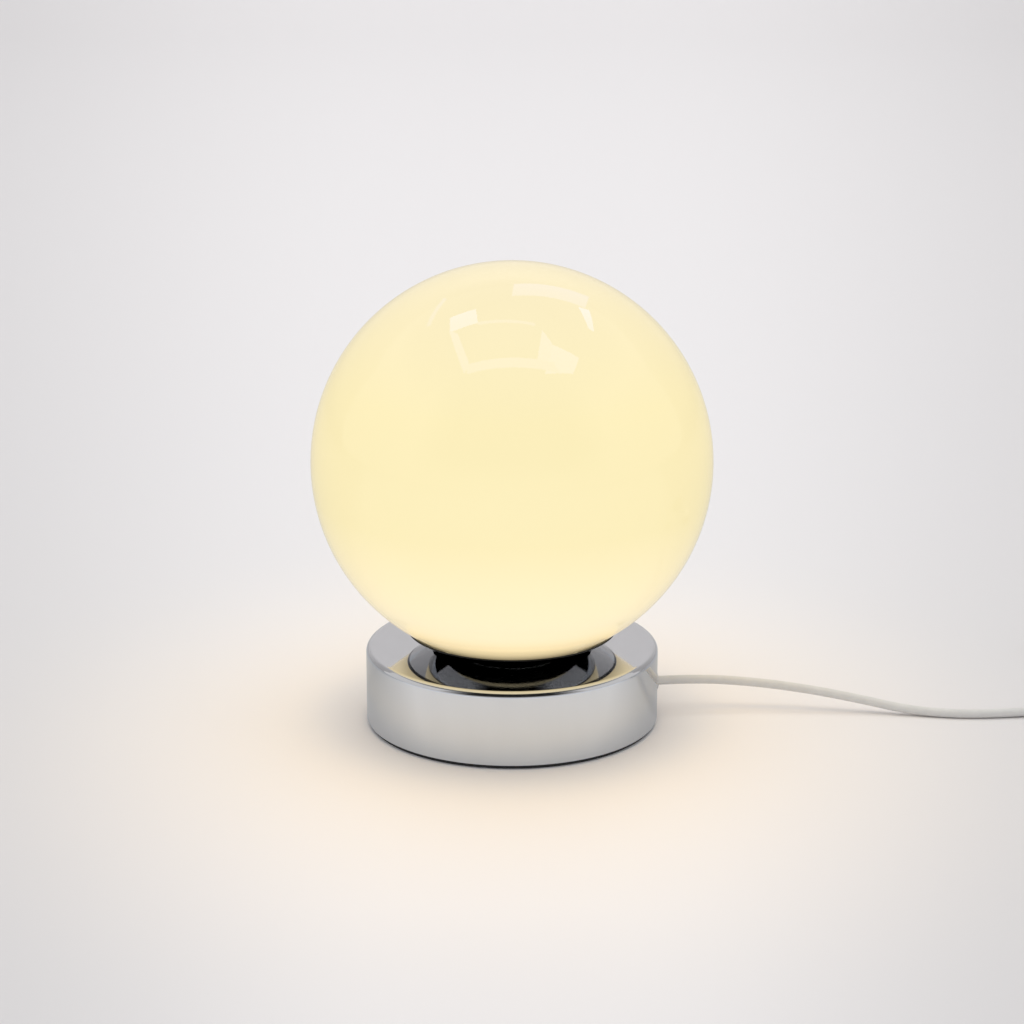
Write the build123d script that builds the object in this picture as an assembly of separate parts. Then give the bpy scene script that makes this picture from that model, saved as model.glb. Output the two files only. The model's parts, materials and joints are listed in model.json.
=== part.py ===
from build123d import *
import math
import os

# Table lamp: an opal glass ball in a shallow chrome dish on a round chrome base, with a mains lead.
# Millimetres and degrees. Z is up, the origin is under the middle of the base, and the floor is z = 0.

# Clearances
fit = 0.05  # round piece in a round seat of the same body, and a pin that turns in its hole
slip = 0.2  # piece that drops into place
glass_gap = 0.2  # between the glass and the soft ring that carries it

# Opal glass ball
globe_diameter = 200.0
glass_wall = 2.2
mouth_diameter = 84.0
mouth_gap = 1.5  # mouth edge above the dish floor
mouth_edge_radius = 0.6

# Base
base_diameter = 147.5
base_height = 37.7
base_edge_radius = 3.0
shell_wall = 1.2
pad_thickness = 2.0
pad_inset = 1.5
plate_thickness = 2.5
plate_gap = 0.3
post_diameter = 9.0
post_inset = 4.3  # post to the inside of the shell
post_count = 3
post_azimuth = 60.0
weight_inset = 2.5  # weight to the posts
weight_bore = 34.0
weight_screw_circle = 80.0
weight_screw_turn = 60.0  # from where the lead leaves the base

# Countersunk screws of the bottom plate
screw_diameter = 4.0
screw_length = 8.0
screw_head_diameter = 7.6
screw_head_height = 2.1
screw_hole_depth = 12.0
recess_width = 0.9
recess_depth = 1.2
recess_share = 0.6  # length of the recess, of the head's diameter

# Neck, dish and the soft ring under the glass
neck_diameter = 50.0
neck_height = 2.3
dish_diameter = 106.0
dish_wall = 0.8
ring_thickness = 0.4
ring_mouth_gap = 1.25  # ring outside the mouth
ring_width = 4.75

# Threaded tube with its washers and nuts
tube_diameter = 10.0
tube_bore = 7.0
washer_diameter = 24.0
washer_thickness = 1.0
nut_across_flats = 14.0
nut_height = 3.0
tube_tail = 2.3  # tube below the lower nut
tube_engagement = 9.5  # tube inside the lampholder

# Spring that centres the glass in its mouth
spring_thickness = 0.8
spring_arm_width = 10.0
spring_arms = 3
spring_azimuth = 30.0
spring_hub_diameter = 30.0
spring_bow_gap = 0.4  # bow to the mouth
spring_bow_height = 3.0
spring_tip_rise = 9.0
spring_tip_lean = 4.0

# Lampholder with an E27 screw
holder_diameter = 38.0
holder_wall = 1.6
holder_cap_height = 19.0
holder_floor = 3.0
holder_edge_radius = 4.0
holder_boss_diameter = 16.0
holder_boss_height = 10.0
holder_neck_height = 6.4
holder_sleeve_height = 33.0
holder_sleeve_extra = 1.0  # sleeve wider than the cap, each side
holder_lip = 2.0
insert_body_height = 10.0
insert_flange_height = 4.0
terminal_offset = 8.5
terminal_size = 6.0
terminal_height = 7.5
terminal_screw_diameter = 3.0
terminal_screw_head = 4.0
contact_thickness = 0.5
contact_width = 6.0
contact_rise = 1.2

# Screw thread of the bulb cap and of the lampholder
thread_root_diameter = 24.3
thread_depth = 0.95
thread_pitch = 3.63
thread_turns = 4
root_share = 0.2  # flat root, of the pitch
crest_share = 0.2  # flat crest, of the pitch
thread_gap = 0.35
thread_sheet = 0.6

# Bulb
tip_gap = 0.3
tip_diameter = 9.0
tip_height = 1.0
insulator_height = 3.5
cap_skirt = 5.5
housing_height = 40.0
housing_top_diameter = 56.8
housing_wall = 1.5
housing_plug_depth = 7.0
bulb_diameter = 60.0
diffuser_wall = 1.2
led_board_thickness = 1.6
led_count = 12
led_circle = 34.0
led_length = 3.5
led_width = 2.8
led_height = 0.8
driver_width = 20.0
driver_length = 24.0

# Lead and where it leaves the base
cord_diameter = 4.6
cord_azimuth = 9.0
cord_height = 15.5
stripped_radius = 26.0  # the sheath ends this far from the axis
grommet_hole_diameter = 7.0
grommet_flange_diameter = 9.0
grommet_flange = 1.4
grommet_lip = 0.7
grommet_lip_length = 2.0
clamp_inset = 12.0  # clamp to the edge of the weight
clamp_width = 9.0
clamp_sheet = 1.2
clamp_span = 21.0
clamp_screw_spacing = 14.0
clamp_screw_diameter = 3.0
clamp_screw_head_diameter = 5.6
clamp_screw_head_height = 1.8
clamp_screw_grip = 5.0
wire_diameter = 2.0
wire_spacing = 2.8
wire_bend = 9.0
wire_jog_bend = 2.5

# Route of the lead from the base to the switch, after its straight start
corner_share = 0.45  # of a run that the arc at its end may take
lead_start_run = 20.0
lead_points = [
    (121.0, 14.0, 13.6),
    (150.0, 9.3, 11.0),
    (178.0, 5.2, 6.7),
    (204.0, -0.6, 2.6),
    (230.0, -5.2, 2.3),
    (256.0, -2.8, 2.4),
    (277.0, 0.9, 3.2),
    (294.5, 2.6, 7.5),
]

# Switch on the lead, lying on the floor along X
switch_x = 337.0
switch_y = 2.6
switch_length = 58.0
switch_width = 24.0
switch_height = 15.5
switch_corner = 8.0
switch_wall = 1.6
switch_edge_radius = 1.4
cord_entry = 4.5  # sheath inside the switch
parting_height = 7.5
rocker_radius = 11.0
rocker_width = 10.5
rocker_tilt = 10.0
rocker_drop = 2.5  # rocker below its pin
rocker_stand = 0.5  # pressed side above the case
rocker_gap = 0.4
pivot_height = 11.0
pivot_diameter = 2.0
lug_length = 6.0
lug_thickness = 2.0
lug_depth = 2.5
case_screw_x = 22.5
case_screw_y = -7.6
case_boss_diameter = 5.2
case_screw_diameter = 2.0
case_screw_head_diameter = 4.0
case_screw_head_height = 1.2
case_screw_reach = 11.5
block_x = 13.8
block_y = -4.0
block_length = 8.8
block_width = 6.0
block_height = 4.4
strip_thickness = 0.4
strip_width = 4.0
strip_overlap = 4.0
strand_diameter = 1.8
strand_spread = 2.1
strand_side_y = 7.6
strand_low_z = 3.6
strand_run = 1.6  # straight at each end of a core
strand_bend = 1.2

# Route of the lead from the switch to its coil
link_points = [
    (380.0, 2.6, 7.5),
    (399.5, 3.4, 5.8),
    (418.5, 6.4, 4.4),
    (435.0, 13.0, 3.6),
    (447.3, 24.5, 3.4),
]
link_last_run = 15.0

# Coil of the length that is put away, and its tie
coil_x = 424.0
coil_y = 62.0
coil_lift = 1.15  # coil above the floor, on its tie
coil_inner_radius = 19.6
coil_step = 5.2
coil_layer_step = 5.25
coil_turns_per_layer = 2
coil_layers = 4
coil_extra_turns = 0.25
tie_azimuth = 230.0
tie_width = 9.0
tie_thickness = 0.9
tie_gap = 0.25
tie_corner = 2.0

# Route of the lead from the coil to the plug, after its straight start
tail_start_run = 13.0
tail_points = [
    (393.0, 93.8, 16.6),
    (379.0, 94.6, 10.0),
]

# Two-pin plug, lying on the floor with its pins along -X
plug_x = 357.0  # end of its strain relief
plug_y = 95.0
relief_length = 20.0
relief_diameter = 10.5
relief_tip_diameter = 6.4
relief_depth = 6.0  # lead inside the strain relief
relief_run = 7.0  # straight lead before it
plug_width = 35.3
plug_thickness = 13.7
plug_length = 35.0
plug_face_length = 14.0
plug_back_width = 15.0
plug_edge_radius = 2.5
pin_diameter = 4.0
pin_length = 19.0
pin_spacing = 18.6
pin_root_diameter = 3.4
pin_root = 8.0

# Heights and radii that follow
cord_radius = cord_diameter / 2
base_radius = base_diameter / 2
shell_inner_radius = base_radius - shell_wall
plate_bottom = pad_thickness
plate_top = plate_bottom + plate_thickness
shell_top = pad_thickness + base_height
shell_ceiling = shell_top - shell_wall
post_circle = shell_inner_radius - post_inset - post_diameter / 2
weight_top = cord_height - cord_radius - fit
weight_radius = post_circle - post_diameter / 2 - weight_inset
weight_screw_azimuth = cord_azimuth + weight_screw_turn
clamp_radius = weight_radius - clamp_inset

neck_top = shell_top + neck_height
dish_floor = neck_top + dish_wall
globe_radius = globe_diameter / 2
mouth_radius = mouth_diameter / 2
mouth_height = dish_floor + mouth_gap
globe_height = mouth_height + math.sqrt(globe_radius**2 - mouth_radius**2)
dish_sphere = globe_radius + glass_gap + ring_thickness + fit

tube_radius = tube_diameter / 2
tube_hole_radius = tube_radius + fit
upper_washer = dish_floor + spring_thickness
upper_nut = upper_washer + washer_thickness
holder_bottom = upper_nut + nut_height
lower_washer = shell_ceiling - washer_thickness
lower_nut = lower_washer - nut_height
tube_bottom = lower_nut - tube_tail
tube_top = holder_bottom + tube_engagement

holder_radius = holder_diameter / 2
sleeve_radius = holder_radius + holder_sleeve_extra
holder_shoulder = holder_bottom + holder_cap_height
holder_neck_top = holder_shoulder + holder_neck_height
neck_outer_radius = sleeve_radius - holder_wall - slip - holder_sleeve_extra / 2
insert_bottom = holder_neck_top - insert_body_height
insert_top = holder_neck_top + insert_flange_height
insert_body_radius = neck_outer_radius - holder_wall - slip
sleeve_top = holder_shoulder + holder_sleeve_height

tip_bottom = insert_top + contact_rise + tip_gap
insulator_bottom = tip_bottom + tip_height
cap_bottom = insulator_bottom + insulator_height
thread_crest_radius = thread_root_diameter / 2 + thread_depth
thread_top = cap_bottom + thread_turns * thread_pitch
cap_top = thread_top + cap_skirt
housing_top = cap_top + housing_height
bulb_radius = bulb_diameter / 2
rim_radius = housing_top_diameter / 2
bulb_height = housing_top + math.sqrt(bulb_radius**2 - rim_radius**2)
cap_inner_radius = thread_root_diameter / 2 - thread_sheet
led_board_top = housing_top - fit
led_board_radius = rim_radius - housing_wall - slip

exit_radius = base_radius + grommet_flange + fit
pivot_hole_radius = pivot_diameter / 2 + fit
opening_length = 2 * (rocker_radius + rocker_gap)
opening_width = rocker_width + 2 * rocker_gap
coil_height = cord_radius + coil_lift
coil_turns = coil_layers * coil_turns_per_layer + coil_extra_turns
plug_height = plug_thickness / 2


def spun(*edges):
    """Solid of revolution about Z from the edges of a closed (radius, height) outline."""
    return revolve(Plane.XZ * make_face(edges), Axis.Z)


def turned(*points):
    """Solid of revolution about Z from the corners of a (radius, height) outline."""
    return spun(Polyline(*points, close=True))


def upright(radius, bottom, top):
    """Cylinder on the Z axis between two heights."""
    return Pos(0, 0, bottom) * extrude(Circle(radius), top - bottom)


def washer(bore_radius, radius, bottom, top):
    """Flat ring on the Z axis between two heights."""
    return Pos(0, 0, bottom) * extrude(Circle(radius) - Circle(bore_radius), top - bottom)


def block(low, high):
    """Box between two corners."""
    size = [b - a for a, b in zip(low, high)]
    middle = [(a + b) / 2 for a, b in zip(low, high)]
    return Pos(*middle) * Box(*size)


def around(piece, count, azimuth, radius=0.0):
    """Copies of a piece at equal steps round the lamp's axis."""
    step = 360.0 / count
    return [Rot(0, 0, azimuth + step * k) * Pos(radius, 0, 0) * piece for k in range(count)]


def towards_cord(piece):
    """Turns what is drawn along +X to the side where the lead leaves the base."""
    return Rot(0, 0, cord_azimuth) * piece


def bowl_arc(sphere_radius, start_radius, end_radius):
    """Arc on the lower half of a sphere round the globe's centre, between two radii."""
    middle = (start_radius + end_radius) / 2
    ends = [
        (r, globe_height - math.sqrt(sphere_radius**2 - r**2))
        for r in (start_radius, middle, end_radius)
    ]
    return ThreePointArc(*ends)


def countersunk_screw(diameter, head_diameter, head_height, length):
    """Screw with its head's flat at z = 0 and its point up, with a cross recess."""
    screw = turned(
        (0, 0),
        (head_diameter / 2, 0),
        (diameter / 2, head_height),
        (diameter / 2, length),
        (0, length),
    )
    arm = head_diameter * recess_share
    cross = Box(arm, recess_width, 2 * recess_depth) + Box(recess_width, arm, 2 * recess_depth)
    return screw - cross


def countersink(diameter, head_diameter, head_height, depth):
    """Space for a countersunk screw, a fit wider all round."""
    return turned(
        (0, 0),
        (head_diameter / 2 + fit, 0),
        (diameter / 2 + fit, head_height),
        (diameter / 2 + fit, depth),
        (0, depth),
    )


def plate_screw_places():
    """Where the bottom plate's screws stand: those of the posts, then those of the weight."""
    ways = [(post_count, post_azimuth, post_circle)]
    ways.append((post_count, weight_screw_azimuth, weight_screw_circle / 2))
    return ways


def base_pad():
    return upright(base_radius - pad_inset, 0, pad_thickness)


def base_shell():
    outer = upright(base_radius, pad_thickness, shell_top)
    outer = fillet(outer.faces().sort_by(Axis.Z)[-1].edges(), base_edge_radius)
    inner = upright(shell_inner_radius, pad_thickness, shell_ceiling)
    inner_radius = max(base_edge_radius - shell_wall, shell_wall / 2)
    inner = fillet(inner.faces().sort_by(Axis.Z)[-1].edges(), inner_radius)
    hole = Pos(base_radius, 0, cord_height) * Rot(0, 90, 0)
    hole = hole * Cylinder(grommet_hole_diameter / 2, 4 * grommet_hole_diameter)
    shell = outer - inner - upright(tube_hole_radius, 0, shell_top + neck_height)
    return shell - towards_cord(hole)


def bottom_plate():
    plate = upright(shell_inner_radius - plate_gap, plate_bottom, plate_top)
    sink = Pos(0, 0, plate_bottom) * countersink(
        screw_diameter, screw_head_diameter, screw_head_height, screw_length
    )
    for count, azimuth, radius in plate_screw_places():
        plate = plate - around(sink, count, azimuth, radius)
    return plate


def base_weight():
    weight = washer(weight_bore / 2, weight_radius, plate_top, weight_top)
    tap = upright(screw_diameter / 2 + fit, plate_bottom, plate_bottom + screw_length + slip)
    weight = weight - around(tap, post_count, weight_screw_azimuth, weight_screw_circle / 2)
    clamp_tap = upright(clamp_screw_diameter / 2 + fit, weight_top - clamp_screw_grip - slip, weight_top)
    taps = [Pos(clamp_radius, s * clamp_screw_spacing / 2, 0) * clamp_tap for s in (-1, 1)]
    return weight - [towards_cord(t) for t in taps]


def plate_posts():
    post = upright(post_diameter / 2, plate_top, shell_ceiling)
    post = post - upright(screw_diameter / 2 + fit, plate_top, plate_top + screw_hole_depth)
    return Part() + around(post, post_count, post_azimuth, post_circle)


def plate_screws():
    screw = Pos(0, 0, plate_bottom) * countersunk_screw(
        screw_diameter, screw_head_diameter, screw_head_height, screw_length
    )
    screws = []
    for count, azimuth, radius in plate_screw_places():
        screws += around(screw, count, azimuth, radius)
    return Part() + screws


def neck_ring():
    return washer(tube_hole_radius, neck_diameter / 2, shell_top, neck_top)


def dish():
    """Round floor and a shallow spherical wall that follows the glass."""
    outer_sphere = dish_sphere + dish_wall
    rim = dish_diameter / 2
    under_edge = math.sqrt(outer_sphere**2 - (globe_height - neck_top) ** 2)
    floor_edge = math.sqrt(dish_sphere**2 - (globe_height - dish_floor) ** 2)
    outside = bowl_arc(outer_sphere, under_edge, rim)
    inside = bowl_arc(dish_sphere, rim, floor_edge)
    return spun(
        Line((tube_hole_radius, neck_top), outside @ 0),
        outside,
        Line(outside @ 1, inside @ 0),
        inside,
        Polyline(inside @ 1, (tube_hole_radius, dish_floor), (tube_hole_radius, neck_top)),
    )


def glass_ring():
    """Soft ring on the dish wall that the glass sits on."""
    seat = dish_sphere - fit
    face = seat - ring_thickness
    low = mouth_radius + ring_mouth_gap
    high = low + ring_width
    under = bowl_arc(seat, low, high)
    over = bowl_arc(face, high, low)
    return spun(under, Line(under @ 1, over @ 0), over, Line(over @ 1, under @ 0))


def globe():
    """Ball of opal glass, open below at a ground mouth."""
    inner = globe_radius - glass_wall
    top = globe_height + globe_radius
    inner_mouth = globe_height - math.sqrt(inner**2 - mouth_radius**2)
    outside = ThreePointArc((mouth_radius, mouth_height), (globe_radius, globe_height), (0, top))
    inside = ThreePointArc(
        (0, top - glass_wall), (inner, globe_height), (mouth_radius, inner_mouth)
    )
    ball = spun(
        outside,
        Line(outside @ 1, inside @ 0),
        inside,
        Line(inside @ 1, outside @ 0),
    )
    ends = ball.edges().filter_by(GeomType.CIRCLE).sort_by(Axis.Z)[:2]
    return fillet(ends, mouth_edge_radius)


def glass_spring():
    """Flat hub with arms that run out, stand up and bow towards the mouth."""
    bow = mouth_radius - spring_bow_gap
    low = dish_floor
    high = dish_floor + spring_thickness
    bow_top = mouth_height + spring_bow_height
    foot = bow - 2 * spring_thickness
    outline = Polyline(
        (0, low),
        (foot, low),
        (bow, bow_top),
        (bow - spring_tip_lean, bow_top + spring_tip_rise),
        (bow - spring_tip_lean - spring_thickness, bow_top + spring_tip_rise),
        (bow - spring_thickness, bow_top),
        (foot - spring_thickness, high),
        (0, high),
        close=True,
    )
    arm = extrude(Plane.XZ * make_face(outline), spring_arm_width / 2, both=True)
    hub = upright(spring_hub_diameter / 2, low, high)
    bore = upright(tube_hole_radius, low, high)
    return hub + around(arm, spring_arms, spring_azimuth) - bore


def threaded_tube():
    return washer(tube_bore / 2, tube_radius, tube_bottom, tube_top)


def tube_washers():
    radius = washer_diameter / 2
    lower = washer(tube_hole_radius, radius, lower_washer, shell_ceiling)
    upper = washer(tube_hole_radius, radius, upper_washer, upper_nut)
    return Part() + [lower, upper]


def tube_nuts():
    hexagon = RegularPolygon(nut_across_flats / 2, 6, major_radius=False)
    flat = extrude(hexagon - Circle(tube_hole_radius), nut_height)
    return Part() + [Pos(0, 0, lower_nut) * flat, Pos(0, 0, upper_nut) * flat]


def holder_cap():
    """Cup of the lampholder, screwed on the tube, with a neck for the sleeve."""
    inside = neck_outer_radius - holder_wall
    floor = holder_bottom + holder_floor
    boss = holder_boss_diameter / 2
    boss_top = holder_bottom + holder_boss_height
    cup = turned(
        (tube_hole_radius, holder_bottom),
        (holder_radius, holder_bottom),
        (holder_radius, holder_shoulder),
        (neck_outer_radius, holder_shoulder),
        (neck_outer_radius, holder_neck_top),
        (inside, holder_neck_top),
        (inside, floor),
        (boss, floor),
        (boss, boss_top),
        (tube_hole_radius, boss_top),
    )
    return fillet(cup.edges().group_by(Axis.Z)[0].sort_by(SortBy.LENGTH)[-1], holder_edge_radius)


def holder_insert():
    """Heat-proof core that carries the contacts, with a pocket for each terminal."""
    core = upright(insert_body_radius, insert_bottom, holder_neck_top)
    core = core + upright(neck_outer_radius - slip, holder_neck_top, insert_top)
    half = terminal_size / 2 + slip
    for side in (-1, 1):
        y = side * terminal_offset
        pocket = block(
            (-half, y - half, insert_bottom),
            (half, y + half, insert_bottom + terminal_height),
        )
        core = core - pocket - terminal_screw_shape(side, terminal_screw_head / 2 + slip, slip)
    return towards_cord(core)


def terminal_screw_shape(side, head_radius, grow):
    """Terminal screw pointing at the axis, or its hole when it grows."""
    y = side * (terminal_offset + terminal_size / 2)
    height = insert_bottom + terminal_height / 2
    head_length = insert_body_radius - abs(y)
    head = Pos(0, y + side * head_length / 2, height) * Rot(90, 0, 0)
    head = head * Cylinder(head_radius, head_length)
    shank = Pos(0, y, height) * Rot(90, 0, 0)
    shank = shank * Cylinder(terminal_screw_diameter / 2 + grow, terminal_size)
    return head + shank


def terminal_blocks():
    half = terminal_size / 2
    blocks = []
    for side in (-1, 1):
        y = side * terminal_offset
        body = block(
            (-half, y - half, insert_bottom),
            (half, y + half, insert_bottom + terminal_height),
        )
        entry = Pos(0, y, 0) * upright(
            wire_diameter / 2 + fit, insert_bottom, insert_bottom + terminal_height / 2
        )
        hole = terminal_screw_shape(side, terminal_screw_diameter / 2 + fit, fit)
        blocks.append(towards_cord(body - entry - hole))
    return Part() + blocks


def terminal_screws():
    """Screws that hold the wires, with a slot across each head."""
    screws = []
    for side in (-1, 1):
        screw = terminal_screw_shape(side, terminal_screw_head / 2, 0.0)
        end = side * insert_body_radius
        slot = Pos(0, end, insert_bottom + terminal_height / 2)
        slot = slot * Box(terminal_screw_head, recess_width, recess_width)
        bore = Pos(0, side * terminal_offset, 0) * upright(
            wire_diameter / 2 + fit, insert_bottom, insert_bottom + terminal_height
        )
        screws.append(towards_cord(screw - slot - bore))
    return Part() + screws


def holder_sleeve():
    """Outer sleeve that clamps the core, with a lip round the mouth of the holder."""
    wide = neck_outer_radius + slip
    inside = neck_outer_radius - holder_wall
    lip = thread_crest_radius + 2 * thread_gap
    sleeve = turned(
        (wide, holder_shoulder),
        (sleeve_radius, holder_shoulder),
        (sleeve_radius, sleeve_top),
        (lip, sleeve_top),
        (lip, sleeve_top - holder_lip),
        (inside, sleeve_top - holder_lip),
        (inside, insert_top),
        (wide, insert_top),
    )
    outer_edge = sleeve.edges().group_by(Axis.Z)[-1].sort_by(SortBy.LENGTH)[-1]
    return fillet(outer_edge, holder_wall / 2)


def thread_wave(offset, bottom):
    """Corners of the rolled thread's outline: a root and a crest for each turn."""
    root = thread_root_diameter / 2 + offset
    crest = thread_crest_radius + offset
    flank = (1 - root_share - crest_share) / 2
    corners = []
    for k in range(thread_turns):
        z = bottom + k * thread_pitch
        corners.append((root, z))
        corners.append((root, z + root_share * thread_pitch))
        corners.append((crest, z + (root_share + flank) * thread_pitch))
        corners.append((crest, z + (1 - flank) * thread_pitch))
    corners.append((root, bottom + thread_turns * thread_pitch))
    return corners


def screw_shell():
    """Rolled brass sleeve of the lampholder, standing on the core."""
    inner = thread_wave(thread_gap, cap_bottom)
    outer = thread_wave(thread_gap + thread_sheet, cap_bottom)
    return turned(
        (inner[0][0], insert_top),
        *inner,
        *reversed(outer),
        (outer[0][0], insert_top),
    )


def centre_contact():
    """Sprung strip from the core to the middle of the bulb cap."""
    low = insert_top
    high = insert_top + contact_rise - contact_thickness
    reach = tip_diameter
    foot = reach - contact_width / 2
    outline = Polyline(
        (-contact_width / 2, high),
        (contact_width / 2, high),
        (foot, low),
        (reach, low),
        (reach, low + contact_thickness),
        (foot + contact_thickness / 2, low + contact_thickness),
        (contact_width / 2 + contact_thickness / 2, high + contact_thickness),
        (-contact_width / 2, high + contact_thickness),
        close=True,
    )
    return extrude(Plane.XZ * make_face(outline), contact_width / 2, both=True)


def bulb_cap():
    """Rolled metal cap of the bulb."""
    outer = thread_wave(0.0, cap_bottom)
    return turned(
        (cap_inner_radius, cap_bottom),
        *outer,
        (outer[-1][0], cap_top),
        (cap_inner_radius, cap_top),
    )


def bulb_insulator():
    """Dark ring between the cap and its middle contact."""
    rim = thread_root_diameter / 2
    return turned(
        (0, insulator_bottom),
        (tip_diameter / 2, insulator_bottom),
        (rim - thread_sheet, cap_bottom),
        (cap_inner_radius - fit, cap_bottom),
        (cap_inner_radius - fit, cap_bottom + thread_pitch / 2),
        (0, cap_bottom + thread_pitch / 2),
    )


def bulb_tip():
    tip = upright(tip_diameter / 2, tip_bottom, insulator_bottom)
    return fillet(tip.edges().group_by(Axis.Z)[0], tip_height / 2)


def bulb_housing():
    """Tapered body of the bulb that plugs into its cap."""
    plug = cap_inner_radius - fit
    neck = thread_root_diameter / 2 + housing_wall
    return turned(
        (plug - housing_wall, cap_top - housing_plug_depth),
        (plug, cap_top - housing_plug_depth),
        (plug, cap_top),
        (neck, cap_top),
        (rim_radius, housing_top),
        (rim_radius - housing_wall, housing_top),
        (rim_radius - housing_wall, housing_top - 2 * led_board_thickness),
        (plug - housing_wall, cap_top + housing_wall),
    )


def led_board():
    return upright(led_board_radius, led_board_top - led_board_thickness, led_board_top)


def led_chips():
    chip = block(
        (-led_length / 2, -led_width / 2, led_board_top),
        (led_length / 2, led_width / 2, led_board_top + led_height),
    )
    return Part() + around(chip, led_count, 0.0, led_circle / 2)


def led_driver():
    """Circuit board of the bulb, standing under the board that carries the lights."""
    top = led_board_top - led_board_thickness
    board = block(
        (-driver_width / 2, -led_board_thickness / 2, top - driver_length),
        (driver_width / 2, led_board_thickness / 2, top),
    )
    can_radius = driver_width / 4
    can = Pos(0, led_board_thickness / 2, top - driver_length / 2) * Rot(-90, 0, 0)
    return board + can * extrude(Circle(can_radius), can_radius)


def bulb_diffuser():
    """Dome of the bulb: more than half a ball, standing on the rim of the housing."""
    inner = bulb_radius - diffuser_wall
    top = bulb_height + bulb_radius
    inner_rim = math.sqrt(inner**2 - (bulb_height - housing_top) ** 2)
    outside = ThreePointArc((rim_radius, housing_top), (bulb_radius, bulb_height), (0, top))
    inside = ThreePointArc((0, top - diffuser_wall), (inner, bulb_height), (inner_rim, housing_top))
    return spun(
        outside,
        Line(outside @ 1, inside @ 0),
        inside,
        Line(inside @ 1, outside @ 0),
    )


def along_x(radius, start, end, height):
    """Cylinder along X between two places at a height."""
    return Pos((start + end) / 2, 0, height) * Rot(0, 90, 0) * Cylinder(radius, end - start)


def cord_grommet():
    """Flush bush in the hole of the shell."""
    neck = grommet_hole_diameter / 2 - fit
    inside = math.sqrt(shell_inner_radius**2 - (neck + grommet_lip) ** 2) - fit
    face = base_radius + fit
    bush = along_x(neck, inside - grommet_lip_length, face, cord_height)
    bush = bush + along_x(grommet_flange_diameter / 2, face, exit_radius, cord_height)
    lip = along_x(neck + grommet_lip, inside - grommet_lip_length, inside, cord_height)
    bore = along_x(cord_radius + fit, 0, 2 * base_radius, cord_height)
    return towards_cord(bush + lip - bore)


def cord_inside():
    """Sheathed lead inside the base, as far as the face of the grommet."""
    return towards_cord(along_x(cord_radius, stripped_radius, exit_radius, cord_height))


def cord_clamp():
    """Saddle over the lead, on the weight."""
    arch = cord_radius + fit
    height = cord_height
    near = clamp_radius - clamp_width / 2
    far = clamp_radius + clamp_width / 2
    saddle = along_x(arch + clamp_sheet, near, far, height)
    feet = block(
        (near, -clamp_span / 2, weight_top),
        (far, clamp_span / 2, weight_top + clamp_sheet),
    )
    tunnel = along_x(arch, 0, 2 * clamp_radius, height)
    trench = block((0, -arch, 0), (2 * clamp_radius, arch, height))
    below = block((0, -clamp_span, 0), (2 * clamp_radius, clamp_span, weight_top))
    saddle = saddle + feet - tunnel - trench - below
    for side in (-1, 1):
        hole = upright(clamp_screw_diameter / 2 + fit, weight_top, weight_top + clamp_sheet)
        saddle = saddle - Pos(clamp_radius, side * clamp_screw_spacing / 2, 0) * hole
    return towards_cord(saddle)


def clamp_screws():
    """Pan-head screws of the clamp, with cross recesses."""
    seat = weight_top + clamp_sheet
    head_top = seat + clamp_screw_head_height
    screw = upright(clamp_screw_diameter / 2, weight_top - clamp_screw_grip, seat)
    screw = screw + upright(clamp_screw_head_diameter / 2, seat, head_top)
    arm = clamp_screw_head_diameter * recess_share
    cross = Box(arm, recess_width, recess_depth) + Box(recess_width, arm, recess_depth)
    screw = screw - Pos(0, 0, head_top) * cross
    sides = [Pos(clamp_radius, s * clamp_screw_spacing / 2, 0) * screw for s in (-1, 1)]
    return Part() + [towards_cord(s) for s in sides]


def tube_along(path, diameter):
    """Round bar along a path."""
    start = Plane(origin=path @ 0, z_dir=path % 0)
    return sweep(start * Circle(diameter / 2), path=path)


def holder_wire(side):
    """Core of the lead: along the base, up the tube and into its terminal."""
    y = side * wire_spacing / 2
    path = FilletPolyline(
        (stripped_radius, side * (cord_radius - wire_diameter / 2), cord_height),
        (0, y, cord_height),
        (0, y, tube_top + fit + wire_diameter),
        (0, side * terminal_offset, insert_bottom - wire_diameter),
        (0, side * terminal_offset, insert_bottom + terminal_height / 2 - wire_diameter),
        radius=[wire_bend, wire_jog_bend, wire_jog_bend],
    )
    return towards_cord(tube_along(path, wire_diameter))


def measured_tube(name, path):
    """Lead along a path, with its length and its volume beside section times length printed."""
    tube = tube_along(path, cord_diameter)
    ratio = tube.volume / (path.length * math.pi * cord_radius**2)
    print(name, "length", round(path.length, 1), "volume ratio", round(ratio, 5))
    return tube


def rounded_route(name, points):
    """Lead along straight runs, with an arc at each corner as large as its runs allow."""
    corners = [Vector(*p) for p in points]
    radii = []
    for before, corner, after in zip(corners, corners[1:], corners[2:]):
        turn = math.radians((corner - before).get_angle(after - corner))
        shorter = min((corner - before).length, (after - corner).length)
        radii.append(corner_share * shorter / math.tan(turn / 2))
    path = FilletPolyline(*points, radius=radii)
    print(name, "radii", [round(r) for r in radii])
    return measured_tube(name, path)


def at_azimuth(radius, height):
    """Point at the azimuth where the lead leaves the base."""
    turn = math.radians(cord_azimuth)
    return (radius * math.cos(turn), radius * math.sin(turn), height)


def cord_lead():
    """Free lead from the base to the switch."""
    start = at_azimuth(exit_radius, cord_height)
    out = at_azimuth(exit_radius + lead_start_run, cord_height)
    end = (switch_x - switch_length / 2 + cord_entry, switch_y, parting_height)
    return rounded_route("cord_lead", [start, out, *lead_points, end])


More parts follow.
